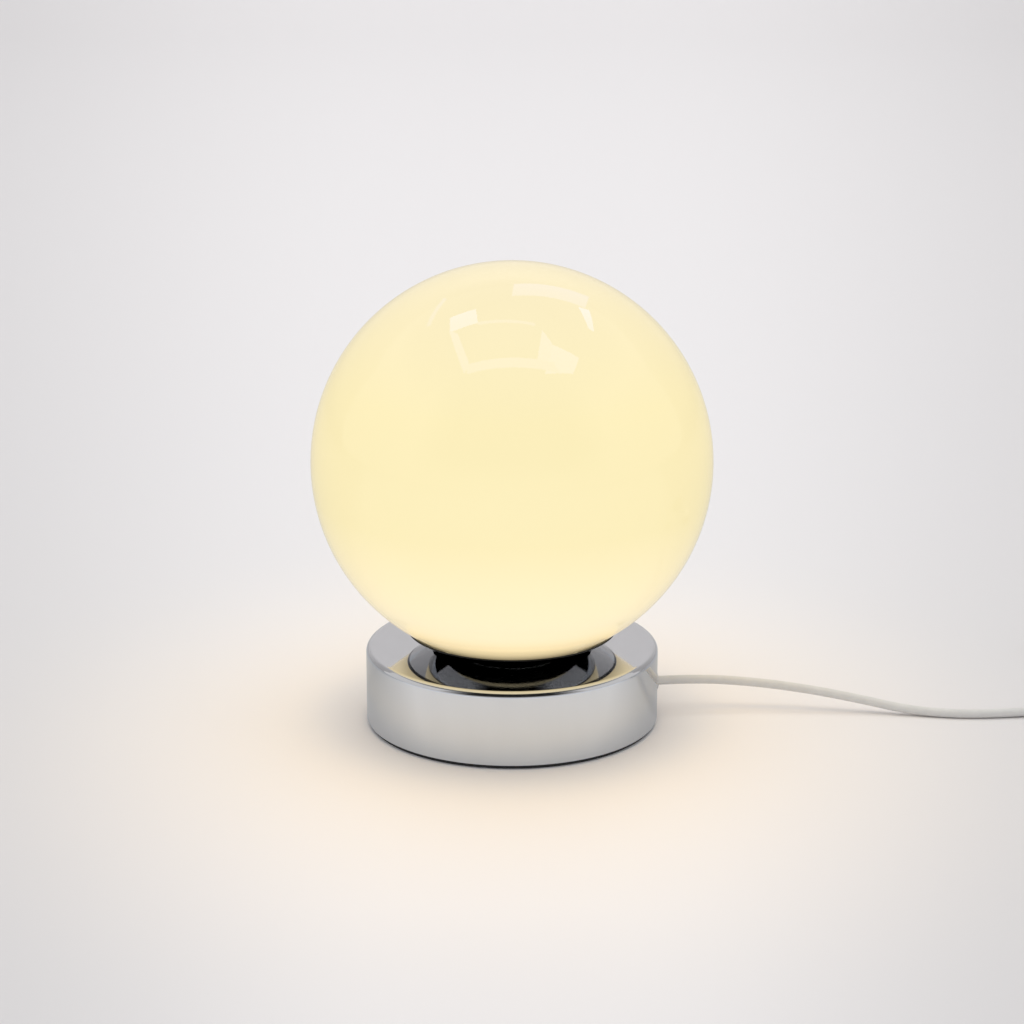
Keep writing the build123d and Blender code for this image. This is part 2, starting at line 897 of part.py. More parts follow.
def coil_point(turn):
    """Middle of the lead at a number of turns: spirals in and out, a layer at a time."""
    nearest = min(max(round(turn / coil_turns_per_layer), 1), coil_layers - 1)
    off = turn - nearest * coil_turns_per_layer
    rounding = 0.25
    distance = abs(off)
    if distance < rounding:
        distance = distance**2 / (2 * rounding) + rounding / 2
    if nearest % 2 == 1:
        radius = coil_inner_radius + coil_step * distance
    else:
        radius = coil_inner_radius + coil_step * (coil_turns_per_layer - distance)
    climb = min(max(off / (2 * rounding) + 0.5, 0.0), 1.0)
    level = nearest - 1 + (1 - math.cos(math.pi * climb)) / 2
    angle = 2 * math.pi * turn
    return Vector(
        coil_x + radius * math.cos(angle),
        coil_y + radius * math.sin(angle),
        coil_height + coil_layer_step * level,
    )


def coil_direction(turn):
    """Direction of the lead at a number of turns."""
    small = 1e-5
    return (coil_point(turn + small) - coil_point(turn - small)).normalized()


def biarc(start, start_way, end, end_way):
    """Two arcs that join smoothly, from one point and direction to another."""
    span = end - start
    both = start_way + end_way
    a = 2 * (1 - start_way.dot(end_way))
    b = 2 * span.dot(both)
    reach = (math.sqrt(b * b + 4 * a * span.dot(span)) - b) / (2 * a)
    middle = (start + end + (start_way - end_way) * reach) / 2
    first = Edge.make_tangent_arc(start, start_way, middle)
    second = Edge.make_tangent_arc(middle, first % 1, end)
    return [first, second]


def coil_ends():
    """Ends of the coil, each a straight stretch of one diameter past the turns."""
    start = coil_point(0.0) - coil_direction(0.0) * cord_diameter
    end = coil_point(coil_turns) + coil_direction(coil_turns) * cord_diameter
    return start, end


def cord_coil():
    """The put-away length as one unbroken tube, a pair of arcs for each quarter turn."""
    start, end = coil_ends()
    quarters = [k / 4 for k in range(round(4 * coil_turns) + 1)]
    places = [coil_point(t) for t in quarters]
    ways = [coil_direction(t) for t in quarters]
    edges = [Edge.make_line(start, places[0])]
    for k in range(len(quarters) - 1):
        edges += biarc(places[k], ways[k], places[k + 1], ways[k + 1])
    edges.append(Edge.make_line(places[-1], end))
    print_least_gap(edges)
    return measured_tube("cord_coil", Wire(edges))


def print_least_gap(edges):
    """Least gap between turns of the coil, measured on points a few millimetres apart."""
    points = []
    along = 0.0
    for edge in edges:
        for k in range(8):
            points.append((edge @ (k / 8), along + edge.length * k / 8))
        along += edge.length
    apart = 2 * math.pi * coil_inner_radius / 2
    least = min(
        (p - q).length
        for i, (p, s) in enumerate(points)
        for q, t in points[i + 1 :]
        if t - s > apart
    )
    print("cord_coil least gap", round(least - cord_diameter, 3))


def coil_tie():
    """Strap round the bundle of turns."""
    inner = coil_inner_radius - tie_width**2 / (8 * coil_inner_radius) - cord_radius - tie_gap
    widest = coil_inner_radius + coil_step * (coil_turns_per_layer + coil_extra_turns)
    outer = widest + cord_radius + tie_gap
    low = coil_height - cord_radius - tie_gap
    high = coil_height + coil_layer_step * (coil_layers - 1) + cord_radius + tie_gap
    hole = RectangleRounded(outer - inner, high - low, tie_corner)
    strap = RectangleRounded(
        outer - inner + 2 * tie_thickness, high - low + 2 * tie_thickness, tie_corner + tie_thickness
    )
    band = extrude(Plane.XZ * (strap - hole), tie_width / 2, both=True)
    middle = Pos((inner + outer) / 2, 0, (low + high) / 2)
    return Pos(coil_x, coil_y, 0) * Rot(0, 0, tie_azimuth) * middle * band


def cord_link():
    """Free lead from the switch to the coil."""
    start = (switch_x + switch_length / 2 - cord_entry, switch_y, parting_height)
    end, _ = coil_ends()
    before = end - coil_direction(0.0) * link_last_run
    return rounded_route("cord_link", [start, *link_points, tuple(before), tuple(end)])


def cord_tail():
    """Free lead from the coil to the plug."""
    _, start = coil_ends()
    out = start + coil_direction(coil_turns) * tail_start_run
    before = (plug_x + relief_run, plug_y, plug_height)
    end = (plug_x - relief_depth, plug_y, plug_height)
    return rounded_route("cord_tail", [tuple(start), tuple(out), *tail_points, before, end])


def in_switch(piece):
    """Moves what is drawn about the middle of the switch's underside to its place."""
    return Pos(switch_x, switch_y, 0) * piece


def switch_outline(inset, bottom, top):
    """Rounded block of the switch, or its hollow when it is inset."""
    outline = RectangleRounded(
        switch_length - 2 * inset, switch_width - 2 * inset, switch_corner - inset
    )
    return Pos(0, 0, bottom) * extrude(outline, top - bottom)


def switch_cord_holes():
    """Bores for the lead at both ends of the switch."""
    return along_x(cord_radius + fit, -switch_length, switch_length, parting_height)


def case_screw_places():
    return [Pos(s * case_screw_x, case_screw_y, 0) for s in (-1, 1)]


def switch_base():
    """Lower half of the switch with bosses for its screws."""
    outer = switch_outline(0, 0, parting_height)
    outer = fillet(outer.faces().sort_by(Axis.Z)[0].edges(), switch_edge_radius)
    half = outer - switch_outline(switch_wall, switch_wall, parting_height)
    boss = upright(case_boss_diameter / 2, switch_wall, parting_height)
    sink = countersink(
        case_screw_diameter, case_screw_head_diameter, case_screw_head_height, parting_height
    )
    for place in case_screw_places():
        half = half + place * boss - place * sink
    return in_switch(half - switch_cord_holes())


def switch_cover():
    """Upper half of the switch with the rocker's opening and lugs for its pin."""
    outer = switch_outline(0, parting_height, switch_height)
    outer = fillet(outer.faces().sort_by(Axis.Z)[-1].edges(), switch_edge_radius)
    half = outer - switch_outline(switch_wall, parting_height, switch_height - switch_wall)
    half = half - Pos(0, 0, switch_height) * Box(opening_length, opening_width, 4 * switch_wall)
    boss = upright(case_boss_diameter / 2, parting_height, switch_height - switch_wall)
    tap = upright(case_screw_diameter / 2 + fit, parting_height, case_screw_reach + slip)
    for place in case_screw_places():
        half = half + place * boss - place * tap
    for side in (-1, 1):
        near = side * opening_width / 2
        far = near + side * lug_thickness
        half = half + block(
            (-lug_length / 2, min(near, far), pivot_height - lug_depth),
            (lug_length / 2, max(near, far), switch_height - switch_wall),
        )
    pin_hole = Cylinder(pivot_hole_radius, opening_width + 4 * lug_thickness)
    half = half - Pos(0, 0, pivot_height) * Rot(90, 0, 0) * pin_hole
    return in_switch(half - switch_cord_holes())


def rocker():
    """Rocker with a shallow valley across its middle, tilted to its on side."""
    valley = switch_height + rocker_stand - pivot_height
    rise = rocker_radius * math.tan(math.radians(rocker_tilt))
    outline = Circle(rocker_radius) & make_face(
        Polyline(
            (-rocker_radius, -rocker_drop),
            (rocker_radius, -rocker_drop),
            (rocker_radius, valley + rise),
            (0, valley),
            (-rocker_radius, valley + rise),
            close=True,
        )
    )
    body = extrude(Plane.XZ * (outline - Circle(pivot_hole_radius)), rocker_width / 2, both=True)
    return in_switch(Pos(0, 0, pivot_height) * Rot(0, -rocker_tilt, 0) * body)


def rocker_pin():
    length = opening_width + 2 * lug_thickness
    return in_switch(Pos(0, 0, pivot_height) * Rot(90, 0, 0) * Cylinder(pivot_diameter / 2, length))


def switch_screws():
    screw = countersunk_screw(
        case_screw_diameter, case_screw_head_diameter, case_screw_head_height, case_screw_reach
    )
    return in_switch(Part() + [place * screw for place in case_screw_places()])


def switch_contacts():
    """Two terminal blocks, one with the strip that closes onto the other."""
    top = switch_wall + block_height
    size = (block_length / 2, block_width / 2)
    blocks = [
        block(
            (s * block_x - size[0], block_y - size[1], switch_wall),
            (s * block_x + size[0], block_y + size[1], top),
        )
        for s in (-1, 1)
    ]
    strip = block(
        (-block_x - size[0], block_y - strip_width / 2, top),
        (block_x - size[0] + strip_overlap, block_y + strip_width / 2, top + strip_thickness),
    )
    return [in_switch(blocks[0] + strip), in_switch(blocks[1])]


def switch_wires():
    """The core that passes through and the two ends of the switched one."""
    end = switch_length / 2 - cord_entry
    apart = strand_spread / 2
    inner_x = block_x + block_length / 2
    turn_in = end - strand_run
    turn_out = turn_in - strand_side_y
    through = FilletPolyline(
        (-end, apart, parting_height),
        (-turn_in, apart, parting_height),
        (-turn_out, strand_side_y, strand_low_z),
        (turn_out, strand_side_y, strand_low_z),
        (turn_in, apart, parting_height),
        (end, apart, parting_height),
        radius=strand_bend,
    )
    wires = [tube_along(through, strand_diameter)]
    low = switch_wall + block_height / 2
    for side in (-1, 1):
        path = FilletPolyline(
            (side * end, -apart, parting_height),
            (side * turn_in, -apart, parting_height),
            (side * (inner_x + strand_run), block_y, low),
            (side * inner_x, block_y, low),
            radius=strand_bend,
        )
        wires.append(tube_along(path, strand_diameter))
    return in_switch(Part() + wires)


def in_plug(piece):
    """Turns what is drawn along -Y from the end of the strain relief to -X, and moves it there."""
    return Pos(plug_x, plug_y, plug_height) * Rot(0, 0, -90) * piece


def plug_relief():
    """Tapered sleeve where the lead enters the plug."""
    sleeve = turned(
        (cord_radius + fit, 0),
        (relief_tip_diameter / 2, 0),
        (relief_diameter / 2, relief_length),
        (0, relief_length),
        (0, relief_depth),
        (cord_radius + fit, relief_depth),
    )
    return in_plug(Rot(90, 0, 0) * sleeve)


def plug_body():
    """Flat plug, wide at its face and narrower towards the lead."""
    back = -relief_length
    face = back - plug_length
    outline = Polyline(
        (-plug_back_width / 2, back),
        (plug_back_width / 2, back),
        (plug_width / 2, face + plug_face_length),
        (plug_width / 2, face),
        (-plug_width / 2, face),
        (-plug_width / 2, face + plug_face_length),
        close=True,
    )
    body = extrude(make_face(outline), plug_thickness / 2, both=True)
    level = body.edges().filter_by(lambda e: abs(e.tangent_at(0.5).Z) < 0.5)
    body = fillet(level, plug_edge_radius)
    for side in (-1, 1):
        seat = Pos(side * pin_spacing / 2, face + pin_root / 2, 0) * Rot(90, 0, 0)
        body = body - seat * Cylinder(pin_root_diameter / 2 + fit, pin_root)
    return in_plug(body)


def plug_pins():
    """Round pins with a rounded end and a thinner root in the plug."""
    length = pin_root + pin_length
    pin = upright(pin_diameter / 2, pin_root, length)
    pin = fillet(pin.edges().group_by(Axis.Z)[-1], pin_diameter / 4)
    pin = pin + upright(pin_root_diameter / 2, 0, pin_root)
    start = -relief_length - plug_length + pin_root
    places = [Pos(s * pin_spacing / 2, start, 0) * Rot(90, 0, 0) for s in (-1, 1)]
    return in_plug(Part() + [p * pin for p in places])


nodes = {
    "base_pad": base_pad(),
    "base_shell": base_shell(),
    "bottom_plate": bottom_plate(),
    "base_weight": base_weight(),
    "plate_posts": plate_posts(),
    "plate_screws": plate_screws(),
    "neck_ring": neck_ring(),
    "dish": dish(),
    "glass_ring": glass_ring(),
    "globe": globe(),
    "glass_spring": glass_spring(),
    "threaded_tube": threaded_tube(),
    "tube_washers": tube_washers(),
    "tube_nuts": tube_nuts(),
    "holder_cap": holder_cap(),
    "holder_insert": holder_insert(),
    "holder_sleeve": holder_sleeve(),
    "screw_shell": screw_shell(),
    "centre_contact": centre_contact(),
    "terminal_blocks": terminal_blocks(),
    "terminal_screws": terminal_screws(),
    "bulb_cap": bulb_cap(),
    "bulb_insulator": bulb_insulator(),
    "bulb_tip": bulb_tip(),
    "bulb_housing": bulb_housing(),
    "bulb_diffuser": bulb_diffuser(),
    "led_board": led_board(),
    "led_chips": led_chips(),
    "led_driver": led_driver(),
    "cord_grommet": cord_grommet(),
    "cord_inside": cord_inside(),
    "cord_clamp": cord_clamp(),
    "clamp_screws": clamp_screws(),
    "live_wire": holder_wire(1),
    "neutral_wire": holder_wire(-1),
    "cord_lead": cord_lead(),
    "switch_base": switch_base(),
    "switch_cover": switch_cover(),
    "rocker": rocker(),
    "rocker_pin": rocker_pin(),
    "switch_screws": switch_screws(),
    "switch_wires": switch_wires(),
    "cord_link": cord_link(),
    "cord_coil": cord_coil(),
    "coil_tie": coil_tie(),
    "cord_tail": cord_tail(),
    "plug_relief": plug_relief(),
    "plug_body": plug_body(),
    "plug_pins": plug_pins(),
}
nodes["live_contact"], nodes["load_contact"] = switch_contacts()

os.makedirs("parts", exist_ok=True)
for name, piece in nodes.items():
    export_step(piece, f"parts/{name}.step")
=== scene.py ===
"""Looks of a round table lamp: a lit opal glass globe on a low chrome base, with a white lead.

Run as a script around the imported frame. It is laid out as an add-on: sizes and colours are
properties, each piece or group of like pieces has an operator, and main() calls them in order.
"""
import json
import math

import bmesh
import bpy
import numpy as np
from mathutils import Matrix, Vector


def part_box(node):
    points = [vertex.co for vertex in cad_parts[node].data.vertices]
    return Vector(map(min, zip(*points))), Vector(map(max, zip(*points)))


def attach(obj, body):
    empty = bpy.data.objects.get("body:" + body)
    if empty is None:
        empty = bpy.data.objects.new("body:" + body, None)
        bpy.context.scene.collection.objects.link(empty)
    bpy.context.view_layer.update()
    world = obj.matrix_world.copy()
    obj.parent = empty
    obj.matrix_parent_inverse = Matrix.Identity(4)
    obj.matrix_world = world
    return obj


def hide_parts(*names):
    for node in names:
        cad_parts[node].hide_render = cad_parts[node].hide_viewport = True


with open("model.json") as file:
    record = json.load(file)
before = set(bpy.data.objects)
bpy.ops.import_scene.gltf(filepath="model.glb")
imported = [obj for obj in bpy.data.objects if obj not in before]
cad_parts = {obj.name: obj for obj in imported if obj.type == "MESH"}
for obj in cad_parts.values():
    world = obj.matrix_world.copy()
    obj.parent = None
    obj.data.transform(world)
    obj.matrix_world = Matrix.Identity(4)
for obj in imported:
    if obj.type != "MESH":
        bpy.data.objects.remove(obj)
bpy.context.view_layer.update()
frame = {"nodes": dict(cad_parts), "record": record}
NODES = frame["nodes"]

bl_info = {
    "name": "Opal globe table lamp",
    "version": (1, 0, 0),
    "blender": (4, 5, 0),
    "location": "View3D > Sidebar > Lamp",
    "description": "Glass globe, chrome base, lead and finishes of a table lamp",
    "category": "Add Mesh",
}

MM = 0.001
MIRROR_HEM = 0.3 * MM  # ring beside a rounded edge, which keeps the flat next to it flat
CREASE = math.radians(20)  # steeper edges stay sharp
WELD = 0.001 * MM  # nearer points are one
SHADER = "Principled BSDF"
NOISE_LOW = 0.3  # most of a noise lies between these
NOISE_HIGH = 0.7
BROAD_GRAIN = 0.12  # scale of a finish's tones to that of its grain
GLOSS_SHARE = 0.15  # by which the roughness of a grained finish varies


def reach(node):
    """Radius of a round node about the lamp's axis."""
    low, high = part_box(node)
    return max(-low.x, -low.y, high.x, high.y)


def levels(node):
    """Lowest and highest z of a node."""
    low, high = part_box(node)
    return low.z, high.z


def float_property(name, description, default, **more):
    return bpy.props.FloatProperty(name=name, description=description, default=default, **more)


def length_property(name, description, default):
    return float_property(name, description, default, min=0.0, precision=5, unit="LENGTH")


def power_property(name, description, default):
    return float_property(name, description, default, min=0.0, unit="POWER")


def colour_property(name, description, default):
    return bpy.props.FloatVectorProperty(
        name=name, description=description, default=default, min=0.0, size=3, subtype="COLOR"
    )


class LampSizes(bpy.types.PropertyGroup):
    """Sizes of the pieces that this file makes, most of them from the frame."""

    globe_radius: length_property("Globe radius", "Outside of the glass ball", reach("globe"))
    glass_wall: length_property("Glass wall", "Thickness of the opal glass", 2.2 * MM)
    mouth_radius: length_property("Mouth radius", "Opening under the ball", 42 * MM)
    base_radius: length_property("Base radius", "Outside of the chrome base", reach("base_shell"))
    base_edge: length_property("Base edge", "Rounding of the base's top edge", 3 * MM)
    shell_wall: length_property("Shell wall", "Thickness of the chrome sheet", 1.2 * MM)
    tube_hole: length_property("Tube hole", "Radius of the hole for the threaded tube", 5.05 * MM)
    neck_radius: length_property("Neck radius", "Chrome neck under the dish", reach("neck_ring"))
    dish_radius: length_property("Dish radius", "Rim of the chrome dish", reach("dish"))
    dish_gap: length_property("Dish gap", "Glass to the inside of the dish", 0.65 * MM)
    dish_wall: length_property("Dish wall", "Thickness of the dish", 0.8 * MM)
    pad_radius: length_property("Pad radius", "Dark pad under the base", reach("base_pad"))
    cord_diameter: length_property("Cord diameter", "Sheath of the lead", 4.6 * MM)
    strap_width: length_property("Strap width", "Tie round the coil", 9 * MM)
    strap_thickness: length_property("Strap thickness", "Tie round the coil", 0.9 * MM)
    segments: bpy.props.IntProperty(
        name="Segments", description="Steps round each turned piece", default=256, min=24
    )


class LampColours(bpy.types.PropertyGroup):
    """Colours that a user may change."""

    glow_foot: colour_property("Glow at the dish", "Light of the glass over the dish", (0.95, 0.83, 0.561))
    glow_low: colour_property("Glow below", "Light of the glass near its mouth", (0.885, 0.83, 0.644))
    glow_middle: colour_property("Glow", "Light of the glass at its middle", (0.81, 0.76, 0.486))
    glow_high: colour_property("Glow above", "Light of the glass near its top", (0.76, 0.727, 0.552))
    opal: colour_property("Opal", "Unlit colour of the glass", (0.25, 0.22, 0.17))
    opal_depth: colour_property("Opal depth", "Tint of the clear outer layer", (1.0, 0.94, 0.80))
    chrome: colour_property("Chrome", "Mirror of the plated pieces", (0.63, 0.635, 0.645))
    # Painted shade: near-black for the dish's top edge, where it meets the glass
    rim: colour_property("Rim", "Cut edge of the dish", (0.03, 0.03, 0.032))
    sheath: colour_property("Sheath", "White lead", (0.68, 0.675, 0.665))
    pad: colour_property("Pad", "Foam under the base", (0.035, 0.035, 0.038))
    strap: colour_property("Strap", "Woven tie", (0.22, 0.22, 0.23))


class LampStage(bpy.types.PropertyGroup):
    """Camera, floor and light."""

    camera_back: length_property("Camera distance", "Camera in front of the axis", 1.4363)
    camera_height: length_property("Camera height", "Camera above the floor", 0.5383)
    camera_pitch: float_property("Pitch", "Camera turned down", math.radians(16.640), subtype="ANGLE")
    focal_length: float_property("Lens", "Focal length in millimetres", 105.47)
    floor: colour_property("Floor", "Floor and backdrop near the lamp", (0.86, 0.843, 0.851))
    # Painted shade: the floor's darker tone to the sides, as light falling off
    floor_painted_shade: colour_property("Far floor", "Floor and backdrop to the sides", (0.70, 0.686, 0.693))
    # Painted reflection: the floor's tone that only mirrors show
    floor_painted_reflection: colour_property("Mirrored floor", "Floor as the chrome shows it", (0.843, 0.885, 0.97))
    ground: colour_property("Ground", "Plain surroundings", (0.78, 0.77, 0.775))
    sky: float_property("Sky", "Strength of the soft light", 0.63)
    key_power: power_property("Key", "Overhead light", 38.0)
    wash_power: power_property("Wash", "Light on the backdrop", 22.0)
    glow_power: power_property("Glow power", "Light of the lamp on the floor", 17.0)
    glow: colour_property("Glow", "Colour of the lamp's light on the floor", (1.0, 0.56, 0.05))


def rounded(corners, radii, closed, steps=10):
    """Line of straight runs with an arc at each corner, as (r, z) points.

    Each corner is cut radius * tan(turn / 2) along both of its runs. The arc between is
    centre + radius * (direction turned by a share of the turn), and one more point stands
    MIRROR_HEM beyond each end of the arc. An open line keeps its two ends as they are.
    """
    corners = np.asarray(corners, float)
    if closed:
        corners = np.vstack([corners[-1:], corners, corners[:1]])
    into = corners[1:-1] - corners[:-2]
    out = corners[2:] - corners[1:-1]
    into /= np.linalg.norm(into, axis=1, keepdims=True)
    out /= np.linalg.norm(out, axis=1, keepdims=True)
    turn = np.arctan2(into[:, 0] * out[:, 1] - into[:, 1] * out[:, 0], (into * out).sum(1))
    radius = np.asarray(radii, float)[:, None]
    cut = radius * np.tan(np.abs(turn) / 2)[:, None]
    start = corners[1:-1] - into * cut
    end = corners[1:-1] + out * cut
    aside = np.stack([-into[:, 1], into[:, 0]], axis=1) * np.sign(turn)[:, None]
    centre = start + aside * radius
    angle = turn[:, None] * np.linspace(0, 1, steps)
    spoke = -aside[:, None, :]
    r = spoke[..., 0] * np.cos(angle) - spoke[..., 1] * np.sin(angle)
    z = spoke[..., 0] * np.sin(angle) + spoke[..., 1] * np.cos(angle)
    arcs = centre[:, None, :] + np.stack([r, z], axis=-1) * radius[:, :, None]
    hems = [(start - into * MIRROR_HEM)[:, None], arcs, (end + out * MIRROR_HEM)[:, None]]
    line = np.concatenate(hems, axis=1).reshape(-1, 2)
    if closed:
        return line
    return np.vstack([corners[:1], line, corners[-1:]])


def sphere_arc(radius, centre, start, end, steps):
    """Stretch of a circle about the axis: r = R sin a, z = c - R cos a, with a measured from below."""
    angle = np.linspace(start, end, steps)
    return np.stack([radius * np.sin(angle), centre - radius * np.cos(angle)], axis=1)


def rim_round(radius, centre, angle, wall, way, steps=12):
    """Half-round edge of a spherical wall, from its inside to its outside.

    With u the direction out of the sphere and v the one along it, a point is
    middle + wall / 2 * (-cos t u + way sin t v), for t between 0 and half a turn.
    """
    t = np.linspace(0, np.pi, steps)[1:-1, None]
    out = np.array([math.sin(angle), -math.cos(angle)])
    along = np.array([math.cos(angle), math.sin(angle)])
    middle = np.array([0, centre]) + radius * out
    return middle + wall / 2 * (-np.cos(t) * out + way * np.sin(t) * along)


def grid_faces(rows, columns, wrap_rows, wrap_columns):
    """Quads of a grid of points, and the grid steps at their corners for a UV map."""
    row = np.arange(rows if wrap_rows else rows - 1)[:, None]
    column = np.arange(columns if wrap_columns else columns - 1)[None, :]
    steps = [(row, column), (row, column + 1), (row + 1, column + 1), (row + 1, column)]
    corner = [np.stack(np.broadcast_arrays(r, c), axis=-1).reshape(-1, 2) for r, c in steps]
    corner = np.stack(corner, axis=1)
    return (corner[..., 0] % rows) * columns + corner[..., 1] % columns, corner


def lathe(profile, segments, closed):
    """Profile turned about the axis: x = r cos t, y = r sin t, with t in equal steps of a turn."""
    angle = np.arange(segments) * 2 * np.pi / segments
    r = profile[:, :1]
    z = np.repeat(profile[:, 1:], segments, axis=1)
    points = np.stack([r * np.cos(angle), r * np.sin(angle), z], axis=-1).reshape(-1, 3)
    faces, _ = grid_faces(len(profile), segments, closed, True)
    return points, faces


def new_mesh(name, points, faces):
    """Mesh of an array of points and of quads, with poles and seams merged."""
    mesh = bpy.data.meshes.new(name)
    mesh.from_pydata(points.tolist(), [], faces.tolist())
    work = bmesh.new()
    work.from_mesh(mesh)
    bmesh.ops.remove_doubles(work, verts=work.verts, dist=WELD)
    work.to_mesh(mesh)
    work.free()
    mesh.shade_smooth()
    mesh.set_sharp_from_angle(angle=CREASE)
    return mesh


def add_object(name, data):
    thing = bpy.data.objects.new(name, data)
    bpy.context.scene.collection.objects.link(thing)
    return thing


def place_piece(name, data, material, body, replaced):
    """Puts a piece on its body in place of the frame's plain nodes."""
    piece = add_object(name, data)
    piece.data.materials.append(material)
    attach(piece, body)
    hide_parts(*replaced)
    return piece


def hide_from(thing, *rays):
    """Keeps a thing of the stage out of some kinds of rays."""
    for ray in rays:
        setattr(thing, "visible_" + ray, False)


def new_material(name):
    """Empty finish: its tree and its main shader."""
    material = bpy.data.materials.new(name)
    material.use_nodes = True
    return material, material.node_tree, material.node_tree.nodes[SHADER]


def set_sockets(node, values):
    for name, value in values.items():
        socket = node.inputs[name]
        socket.default_value = (*value, 1.0) if socket.type == "RGBA" else value


def own_axes(tree):
    """X, Y and Z of the piece's own coordinates."""
    place = tree.nodes.new("ShaderNodeTexCoord")
    split = tree.nodes.new("ShaderNodeSeparateXYZ")
    tree.links.new(place.outputs["Object"], split.inputs["Vector"])
    return split.outputs


def worked(tree, operation, *values):
    """Result of one operation on sockets and plain numbers."""
    node = tree.nodes.new("ShaderNodeMath")
    node.operation = operation
    for socket, value in zip(node.inputs, values):
        if isinstance(value, bpy.types.NodeSocket):
            tree.links.new(value, socket)
        else:
            socket.default_value = value
    return node.outputs[0]


def object_noise(tree, scale, detail, stretch=(1.0, 1.0, 1.0)):
    """Noise on the piece's own coordinates, stretched along an axis where a finish has a direction."""
    place = tree.nodes.new("ShaderNodeTexCoord")
    mapping = tree.nodes.new("ShaderNodeMapping")
    noise = tree.nodes.new("ShaderNodeTexNoise")
    set_sockets(mapping, {"Scale": stretch})
    set_sockets(noise, {"Scale": scale, "Detail": detail})
    tree.links.new(place.outputs["Object"], mapping.inputs["Vector"])
    tree.links.new(mapping.outputs["Vector"], noise.inputs["Vector"])
    return noise.outputs[0]


def ranged(tree, value, low, high, from_low=NOISE_LOW, from_high=NOISE_HIGH):
    """A value, by default a noise, mapped from one range to another."""
    node = tree.nodes.new("ShaderNodeMapRange")
    set_sockets(node, {"From Min": from_low, "From Max": from_high, "To Min": low, "To Max": high})
    tree.links.new(value, node.inputs["Value"])
    return node.outputs["Result"]


def tone(tree, value, colours, target, fade="LINEAR"):
    """Colour ramp from (position, colour) pairs to a socket."""
    ramp = tree.nodes.new("ShaderNodeValToRGB")
    ramp.color_ramp.interpolation = fade
    steps = ramp.color_ramp.elements
    while len(steps) < len(colours):
        steps.new(1.0)
    for step, (position, colour) in zip(steps, colours):
        step.position = position
        step.color = (*colour, 1.0)
    tree.links.new(value, ramp.inputs["Fac"])
    tree.links.new(ramp.outputs["Color"], target)


def shade(colour, share):
    return tuple(min(1.0, c * share) for c in colour)


def mottle(tree, noise, colour, share, target):
    """Colour that a noise takes a share down and up."""
    ends = [(NOISE_LOW, shade(colour, 1 - share)), (NOISE_HIGH, shade(colour, 1 + share))]
    tone(tree, noise, ends, target)


def relief(tree, value, depth, shader, strength=1.0):
    """Bump of a real depth in metres."""
    bump = tree.nodes.new("ShaderNodeBump")
    set_sockets(bump, {"Distance": depth, "Strength": strength})
    tree.links.new(value, bump.inputs["Height"])
    tree.links.new(bump.outputs["Normal"], shader.inputs["Normal"])


def grained(name, colour, roughness, grain, depth, metallic=0.0, share=0.06, stretch=(1, 1, 1), **more):
    """Plain finish with the fine grain, tone and gloss variation of a real surface.

    grain is the size of its texture and depth its height, both in metres. share is how far
    its tone varies.
    """
    material, tree, shader = new_material(name)
    set_sockets(shader, {"Metallic": metallic, **more})
    fine = object_noise(tree, 1 / grain, detail=4.0, stretch=stretch)
    broad = object_noise(tree, BROAD_GRAIN / grain, detail=2.0, stretch=stretch)
    mottle(tree, broad, colour, share, shader.inputs["Base Color"])
    gloss = ranged(tree, fine, roughness * (1 - GLOSS_SHARE), roughness * (1 + GLOSS_SHARE))
    tree.links.new(gloss, shader.inputs["Roughness"])
    relief(tree, fine, depth, shader)
    return material


def opal_glass(colours, bottom, top):
    """Lit opal glass: a glow that changes with height, soft cloudiness, and a clear glossy skin."""
    material, tree, shader = new_material("opal_glass")
    skin = {
        "Roughness": 0.25,
        "IOR": 1.5,
        "Specular IOR Level": 0.0,
        "Coat Weight": 0.75,
        "Coat Roughness": 0.012,
        "Coat IOR": 1.44,
        "Coat Tint": colours.opal_depth,
        "Emission Strength": 1.0,
    }
    set_sockets(shader, skin)
    cloud = object_noise(tree, 14.0, detail=2.0)
    mottle(tree, cloud, colours.opal, 0.02, shader.inputs["Base Color"])
    height = ranged(tree, own_axes(tree)["Z"], 0.0, 1.0, bottom, top)
    # Share of the globe's height, and the glow there
    steps = [
        # The first steps fade the glow nearly to dark over the dish: painted shade of the dish and lamp
        # holder
        (0.00, shade(colours.glow_foot, 0.05)),
        (0.026, shade(colours.glow_foot, 0.46)),
        (0.045, shade(colours.glow_foot, 0.82)),
        (0.070, colours.glow_foot),
        (0.110, colours.glow_low),
        (0.14, colours.glow_low),
        (0.40, colours.glow_middle),
        (0.70, colours.glow_middle),
        (1.00, colours.glow_high),
    ]
    tone(tree, height, steps, shader.inputs["Emission Color"])
    relief(tree, object_noise(tree, 30.0, detail=1.0), 0.02 * MM, shader, strength=0.3)
    return material


def chrome_plate(colours, name="chrome_plate"):
    """Polished chrome: a mirror with faint polishing haze."""
    material, tree, shader = new_material(name)
    set_sockets(shader, {"Metallic": 1.0})
    haze = object_noise(tree, 60.0, detail=5.0, stretch=(1.0, 1.0, 0.25))
    mottle(tree, haze, colours.chrome, 0.015, shader.inputs["Base Color"])
    tree.links.new(ranged(tree, haze, 0.03, 0.07), shader.inputs["Roughness"])
    return material


def dish_chrome_shaded_rim(colours, edge):
    """Polished chrome, painted dark above a level: painted shade on the dish's edge where it meets the
    glass.
    """
    material = chrome_plate(colours, "dish_chrome_shaded_rim")
    tree = material.node_tree
    fade = 0.15 * MM
    level = ranged(tree, own_axes(tree)["Z"], 0.0, 1.0, edge - fade, edge)
    ends = [(0.0, colours.chrome), (1.0, colours.rim)]
    tone(tree, level, ends, tree.nodes[SHADER].inputs["Base Color"])
    return material


